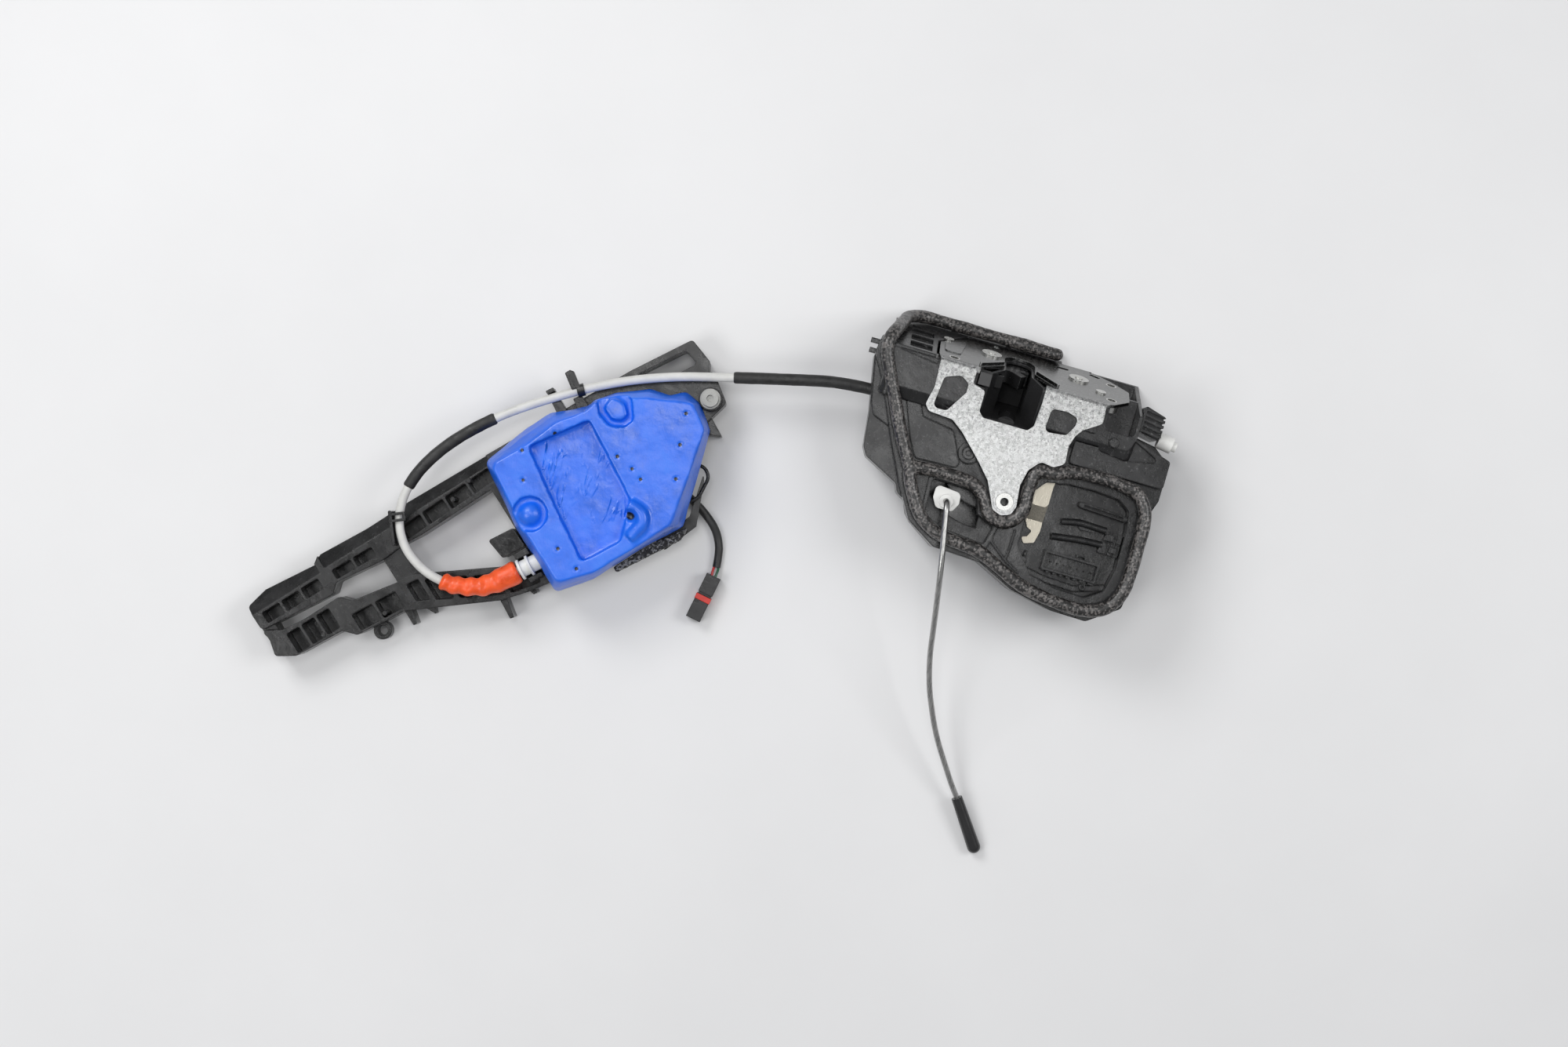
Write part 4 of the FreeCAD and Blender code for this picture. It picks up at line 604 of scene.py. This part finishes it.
def carrier_place(place):
    """How far along and across the carrier a place is."""
    x, y = place[0] - CARRIER_CORNER[0], place[1] - CARRIER_CORNER[1]
    along, across = math.cos(CARRIER_TURN), math.sin(CARRIER_TURN)
    return x * along + y * across, y * along - x * across


def in_outline(place, outline):
    crossings = 0
    for (ax, ay), (bx, by) in zip(outline, outline[1:] + outline[:1]):
        if (ay > place[1]) != (by > place[1]):
            if place[0] < ax + (bx - ax) * (place[1] - ay) / (by - ay):
                crossings += 1
    return crossings % 2 == 1


def dent(piece, place, radius, depth):
    """Presses a small round dent down into the top of a piece."""
    for point in piece.data.vertices:
        reach = math.hypot(point.co.x - place.x, point.co.y - place.y)
        if reach < radius and point.co.z > place.z - DENT_REACH:
            point.co.z -= depth * (1.0 - (reach / radius) ** 2)


class LOCK_OT_camera(bpy.types.Operator):
    """Look straight down on the lock, turned as the photograph is"""
    bl_idname = "lock.camera"
    bl_label = "Camera"

    def execute(self, context):
        stage = context.scene.lock_stage
        bpy.ops.object.camera_add(location=(*CAMERA_PLACE, stage.camera_height),
                                  rotation=(0.0, 0.0, CAMERA_TURN))
        camera = context.object
        camera.name = "camera"
        camera.data.lens = stage.lens
        camera.data.sensor_width = SENSOR_WIDTH
        context.scene.camera = camera
        return {"FINISHED"}


class LOCK_OT_door_cable(bpy.types.Operator):
    """Make the cable from latch to handle carrier, with its sleeves and boot"""
    bl_idname = "lock.door_cable"
    bl_label = "Door cable"

    def execute(self, context):
        sizes = context.scene.lock_sizes
        colours = context.scene.lock_colours
        sheath = moulded("cable sheath", tuple(colours.sheath), 0.42, grain=0.0009, depth=0.00003,
                         patch=0.015, vary=0.12)
        route = [(x, y, CABLE_LEVEL) for x, y in CABLE_ROUTE]
        cable = cord_curve("door_cable", route, sizes.cable, sheath)
        line = centre_line(cable)
        whole = line_length(line)
        pieces = [*self.sleeves(sizes, line), self.boot(sizes, colours, line, whole)]
        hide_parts("cable_sheath")
        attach(cable, "base")
        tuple(route[0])
        return {"FINISHED"}

    def sleeves(self, sizes, line):
        rubber = moulded("black sleeve", (0.017, 0.017, 0.017), 0.5, grain=0.0008, depth=0.00008,
                         patch=0.008, vary=0.4)

        def radius_at(share, turn):
            around = Vector((share * SLEEVE_RIPPLES, math.cos(turn), math.sin(turn)))
            ripple = noise.noise(around) * SLEEVE_RIPPLE
            return sizes.sleeve + ripple - SLEEVE_ROLL * rolled_in(share, SLEEVE_ROLL_STEEPNESS)

        spans = [("latch_end_sleeve", "sleeve_latch", LATCH_SLEEVE_START,
                  nearest_reach(line, LATCH_SLEEVE_END)),
                 ("loop_sleeve", "sleeve_loop", nearest_reach(line, LOOP_SLEEVE_START),
                  nearest_reach(line, LOOP_SLEEVE_END))]
        for name, node, start, end in spans:
            points = stretch_of(line, start, end, SLEEVE_STEP)
            piece = skin_along(name, points, radius_at, rubber)
            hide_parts(node)
            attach(piece, "base")
            yield piece

    def boot(self, sizes, colours, line, whole):
        rubber = moulded("orange rubber", tuple(colours.boot), 0.34, grain=0.0012, depth=0.00006,
                         patch=0.01)
        shader = rubber.node_tree.nodes["Principled BSDF"]
        shader.inputs["Subsurface Weight"].default_value = 0.25
        shader.inputs["Subsurface Scale"].default_value = 0.003
        shader.inputs["Subsurface Radius"].default_value = (1.0, 0.3, 0.1)

        def radius_at(share, turn):
            body = sizes.boot_small + (sizes.boot_large - sizes.boot_small) * share ** 0.8
            lean = 0.9 * math.sin(turn + 2.0) + 0.5 * math.sin(turn * 2 + 1.0)
            fold = math.sin(2 * math.pi * BOOT_FOLDS * share ** 0.9 + lean)
            past = min(1.0, max(0.0, (share - BOOT_CALM_FROM) / BOOT_CALM_OVER))
            calm = 1.0 - BOOT_CALM * past
            end_roll = rolled_in(share, BOOT_ROLL_STEEPNESS)
            height = BOOT_FOLD_HEIGHT * fold * calm * (1.0 - end_roll)
            return body - BOOT_INSET + height - BOOT_ROLL * end_roll

        start = nearest_reach(line, BOOT_START)
        points = stretch_of(line, start, whole - BOOT_SHORT_OF_END, BOOT_STEP)
        piece = skin_along("cable_boot_folds", points, radius_at, rubber, BOOT_SIDES)
        push(piece, swollen(BOOT_SWELL))
        select_only(piece)
        bpy.ops.object.shade_smooth()
        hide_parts("cable_boot")
        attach(piece, "base")
        return piece


class LOCK_OT_switch_lead(bpy.types.Operator):
    """Make the short lead with its two cores, plug and seal"""
    bl_idname = "lock.switch_lead"
    bl_label = "Switch lead"

    def execute(self, context):
        sizes = context.scene.lock_sizes
        jacket = moulded("lead jacket", (0.016, 0.016, 0.016), 0.45, grain=0.0007, depth=0.00005,
                         patch=0.01, vary=0.3)
        red = moulded("red core", (0.50, 0.05, 0.05), 0.35, grain=0.0005, depth=0.00001,
                      patch=0.01, vary=0.1)
        green = moulded("green core", (0.02, 0.10, 0.05), 0.35, grain=0.0005, depth=0.00001,
                        patch=0.01, vary=0.1)
        lead = cord_curve("switch_lead", LEAD_ROUTE, sizes.lead, jacket)
        length = line_length(centre_line(lead))
        for name, side, material in (("red_core", -CORE_OFFSET, red),
                                     ("green_core", CORE_OFFSET, green)):
            run = [(x + side * aside, y, z) for x, y, z, aside in CORE_ROUTE]
            core = cord_curve(name, run, CORE_RADIUS, material)
            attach(core, "base")
        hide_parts("lead_wires")
        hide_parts("lead_sheath")
        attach(lead, "base")
        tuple(LEAD_ROUTE[0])
        dress(moulded("plug plastic", (0.014, 0.014, 0.015), 0.3, edge=0.0006), "plug_body")
        dress(moulded("red silicone", (0.55, 0.03, 0.02), 0.4, edge=0.0005), "plug_seal")
        return {"FINISHED"}


class LOCK_OT_foam_cover(bpy.types.Operator):
    """Make the blue moulded foam cover of the handle carrier"""
    bl_idname = "lock.foam_cover"
    bl_label = "Foam cover"

    def execute(self, context):
        sizes = context.scene.lock_sizes
        vents = [carrier_point(p, q, VENT_LEVEL) for p, q in VENTS]
        tear = carrier_point(*TEAR, TEAR_LEVEL)
        # Where the painted shade of the vents and the tear lies, and how wide it is.
        spots = [(place, VENT_SPOT) for place in vents] + [(tear, TEAR_SPOT)]
        skin = foam_skin("blue foam skin", tuple(context.scene.lock_colours.foam), spots)
        cover = soft_copy("foam_cover_skin", "foam_cover", sizes.foam_voxel, FOAM_ROUNDS, skin)
        push(cover, lambda co: noise.fractal(co * FOAM_WAVES, 0.8, 2.0, 4) * FOAM_SWELL)
        wrinkled = cover.data.attributes.new("wrinkled", "FLOAT", "POINT")
        for point, mark in zip(cover.data.vertices, wrinkled.data):
            inside = in_outline(carrier_place(point.co), RECESS) and point.co.z > RECESS_LEVEL
            mark.value = WRINKLES_IN_RECESS if inside else WRINKLES_OUTSIDE
        for place in vents:
            dent(cover, place, VENT_RADIUS, VENT_DEPTH)
        dent(cover, tear, TEAR_RADIUS, TEAR_DEPTH)
        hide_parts("foam_cover")
        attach(cover, "base")
        return {"FINISHED"}


class LOCK_OT_weather_seal(bpy.types.Operator):
    """Make the foam rubber bead round the latch, and the felt at the foam cover's edge"""
    bl_idname = "lock.weather_seal"
    bl_label = "Weather seal"

    def execute(self, context):
        sizes = context.scene.lock_sizes
        rubber = cellular("foam rubber", tuple(context.scene.lock_colours.seal), 0.38)
        bead = soft_copy("weather_seal", "latch_seal", sizes.seal_voxel, SEAL_ROUNDS, rubber)
        push(bead, swollen(SEAL_SWELL))
        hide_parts("latch_seal")
        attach(bead, "base")
        fluff = cellular("felt", (0.02, 0.02, 0.02), 0.9)
        felt = soft_copy("felt_pad", "felt_strip", FELT_DETAIL, FELT_ROUNDS, fluff)
        push(felt, swollen(FELT_SWELL))
        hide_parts("felt_strip")
        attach(felt, "base")
        return {"FINISHED"}


class LOCK_OT_sheet_metal(bpy.types.Operator):
    """Finish the frame plate, fasteners, pins, springs, wires, rod and hook lever"""
    bl_idname = "lock.sheet_metal"
    bl_label = "Sheet metal"

    def execute(self, context):
        colours = context.scene.lock_colours
        dress(spangled("spangled zinc", tuple(colours.zinc), 0.34), "latch_plate")
        dress(drawn("bright plated steel", (0.62, 0.62, 0.60), 0.32), "plate_nut", "flange_nuts",
              "frame_rivets", "fork_pin", "pawl_pin", "bellcrank_pin", "gear_shafts", "lock_motor")
        dress(drawn("dull plated screw", (0.30, 0.30, 0.29), 0.42), "carrier_screw")
        dress(drawn("drawn rod", (0.46, 0.46, 0.45), 0.33, (1.0, 0.08, 0.2)), "lock_rod")
        dress(drawn("spring wire", (0.40, 0.40, 0.40), 0.3), "fork_spring", "pawl_spring",
              "bellcrank_spring", "carrier_core", "latch_core", "back_plate", "release_link")
        dress(drawn("dull contacts", (0.05, 0.05, 0.05), 0.5), "contact_pins")
        dress(drawn("pale plated hook", tuple(colours.hook), 0.36, (1.0, 0.1, 1.0)),
              "inside_release_lever")
        dress(drawn("cast zinc", (0.45, 0.45, 0.46), 0.5, (1.0, 1.0, 1.0)), "counterweight",
              "cable_nipple")
        dress(drawn("brass", (0.60, 0.42, 0.16), 0.3), "motor_pinion")
        return {"FINISHED"}


class LOCK_OT_mouldings(bpy.types.Operator):
    """Finish the mouldings, and the claw, pawl and cover screw, which are coated black"""
    bl_idname = "lock.mouldings"
    bl_label = "Mouldings"

    def execute(self, context):
        colours = context.scene.lock_colours
        black = tuple(colours.moulding)
        dress(moulded("housing plastic", black, 0.25, vary=0.4, edge=0.0012, dust=0.12),
              "latch_housing", "latch_cover", "ribbed_side_cover")
        dress(moulded("carrier plastic", times(black, 0.65), 0.27, grain=0.0005, depth=0.00005,
                      patch=0.015, vary=0.4, edge=0.0011, dust=0.06),
              "handle_carrier", "bellcrank", "sensor_box", "cable_clip")
        dress(moulded("socket plastic", times(black, 0.9), 0.24, depth=0.00003, patch=0.01,
                      vary=0.3, edge=0.0006, dust=0.06),
              "connector_socket", "microswitches", "cable_guides")
        dress(moulded("smooth liner", times(black, 1.6), 0.2, grain=0.002, depth=0.00001,
                      vary=0.2, edge=0.0005),
              "mouth_liner", "gloss_bar", "lock_rod_cap")
        dress(moulded("coated steel", times(black, 0.8), 0.2, grain=0.001, depth=0.00003,
                      vary=0.2, edge=0.0006),
              "fork", "pawl", "cover_screw")
        dress(moulded("soft rubber", black, 0.7), "striker_buffer")
        dress(moulded("white plastic", tuple(colours.white), 0.38, grain=0.0008, depth=0.00002,
                      vary=0.06, edge=0.0005),
              "rod_clip", "lock_lever", "drive_gear", "side_plug", "cable_end_fitting")
        return {"FINISHED"}


class LOCK_OT_stage(bpy.types.Operator):
    """Add the pale bench, soft lights and world"""
    bl_idname = "lock.stage"
    bl_label = "Stage"

    def execute(self, context):
        bench_colour = tuple(context.scene.lock_stage.bench)
        material, tree, shader = new_finish("bench top", bench_colour, 0.5)
        marks = cloud(tree, position(tree), 0.25, detail=6.0)
        set_colours(tree, shader, marks, [(0.3, times(bench_colour, 0.97)),
                                          (0.7, times(bench_colour, 1.02))])
        clear_selection()
        bpy.ops.mesh.primitive_plane_add(size=BENCH_WIDTH, location=(0.0, 0.0, BENCH))
        bench = context.object
        bench.name = "bench"
        bench.data.materials.append(material)
        for name, place, width, power in LAMPS:
            bpy.ops.object.light_add(type="AREA", location=place)
            lamp = context.object
            lamp.name = name
            lamp.data.size = width
            lamp.data.energy = power
            beam = Vector(LIT_PLACE) - Vector(place)
            lamp.rotation_euler = beam.to_track_quat("-Z", "Y").to_euler()
        world = bpy.data.worlds.new("studio")
        world.use_nodes = True
        sky = world.node_tree.nodes["Background"]
        sky.inputs["Color"].default_value = (*SKY_COLOUR, 1.0)
        sky.inputs["Strength"].default_value = SKY_STRENGTH
        context.scene.world = world
        context.scene.view_settings.view_transform = "Standard"
        return {"FINISHED"}


class LOCK_PT_panel(bpy.types.Panel):
    """Lists the lock's pieces and their settings"""
    bl_label = "Door lock"
    bl_idname = "LOCK_PT_panel"
    bl_space_type = "VIEW_3D"
    bl_region_type = "UI"
    bl_category = "Door lock"

    def draw(self, context):
        for step in STEPS:
            self.layout.operator(step.bl_idname)
        for group in (context.scene.lock_colours, context.scene.lock_sizes, context.scene.lock_stage):
            box = self.layout.box()
            for key in group.bl_rna.properties.keys():
                if key not in ("rna_type", "name"):
                    box.prop(group, key)


STEPS = [LOCK_OT_camera, LOCK_OT_door_cable, LOCK_OT_switch_lead, LOCK_OT_foam_cover,
         LOCK_OT_weather_seal, LOCK_OT_sheet_metal, LOCK_OT_mouldings, LOCK_OT_stage]
GROUPS = {"lock_colours": LockColours, "lock_sizes": LockSizes, "lock_stage": LockStage}


def register():
    for name, group in GROUPS.items():
        bpy.utils.register_class(group)
        setattr(bpy.types.Scene, name, bpy.props.PointerProperty(type=group))
    for step in STEPS:
        bpy.utils.register_class(step)
    bpy.utils.register_class(LOCK_PT_panel)


def unregister():
    bpy.utils.unregister_class(LOCK_PT_panel)
    for step in reversed(STEPS):
        bpy.utils.unregister_class(step)
    for name, group in GROUPS.items():
        delattr(bpy.types.Scene, name)
        bpy.utils.unregister_class(group)


def main():
    register()
    for step in STEPS:
        group, action = step.bl_idname.split(".")
        getattr(getattr(bpy.ops, group), action)()


if __name__ == "__main__":
    main()
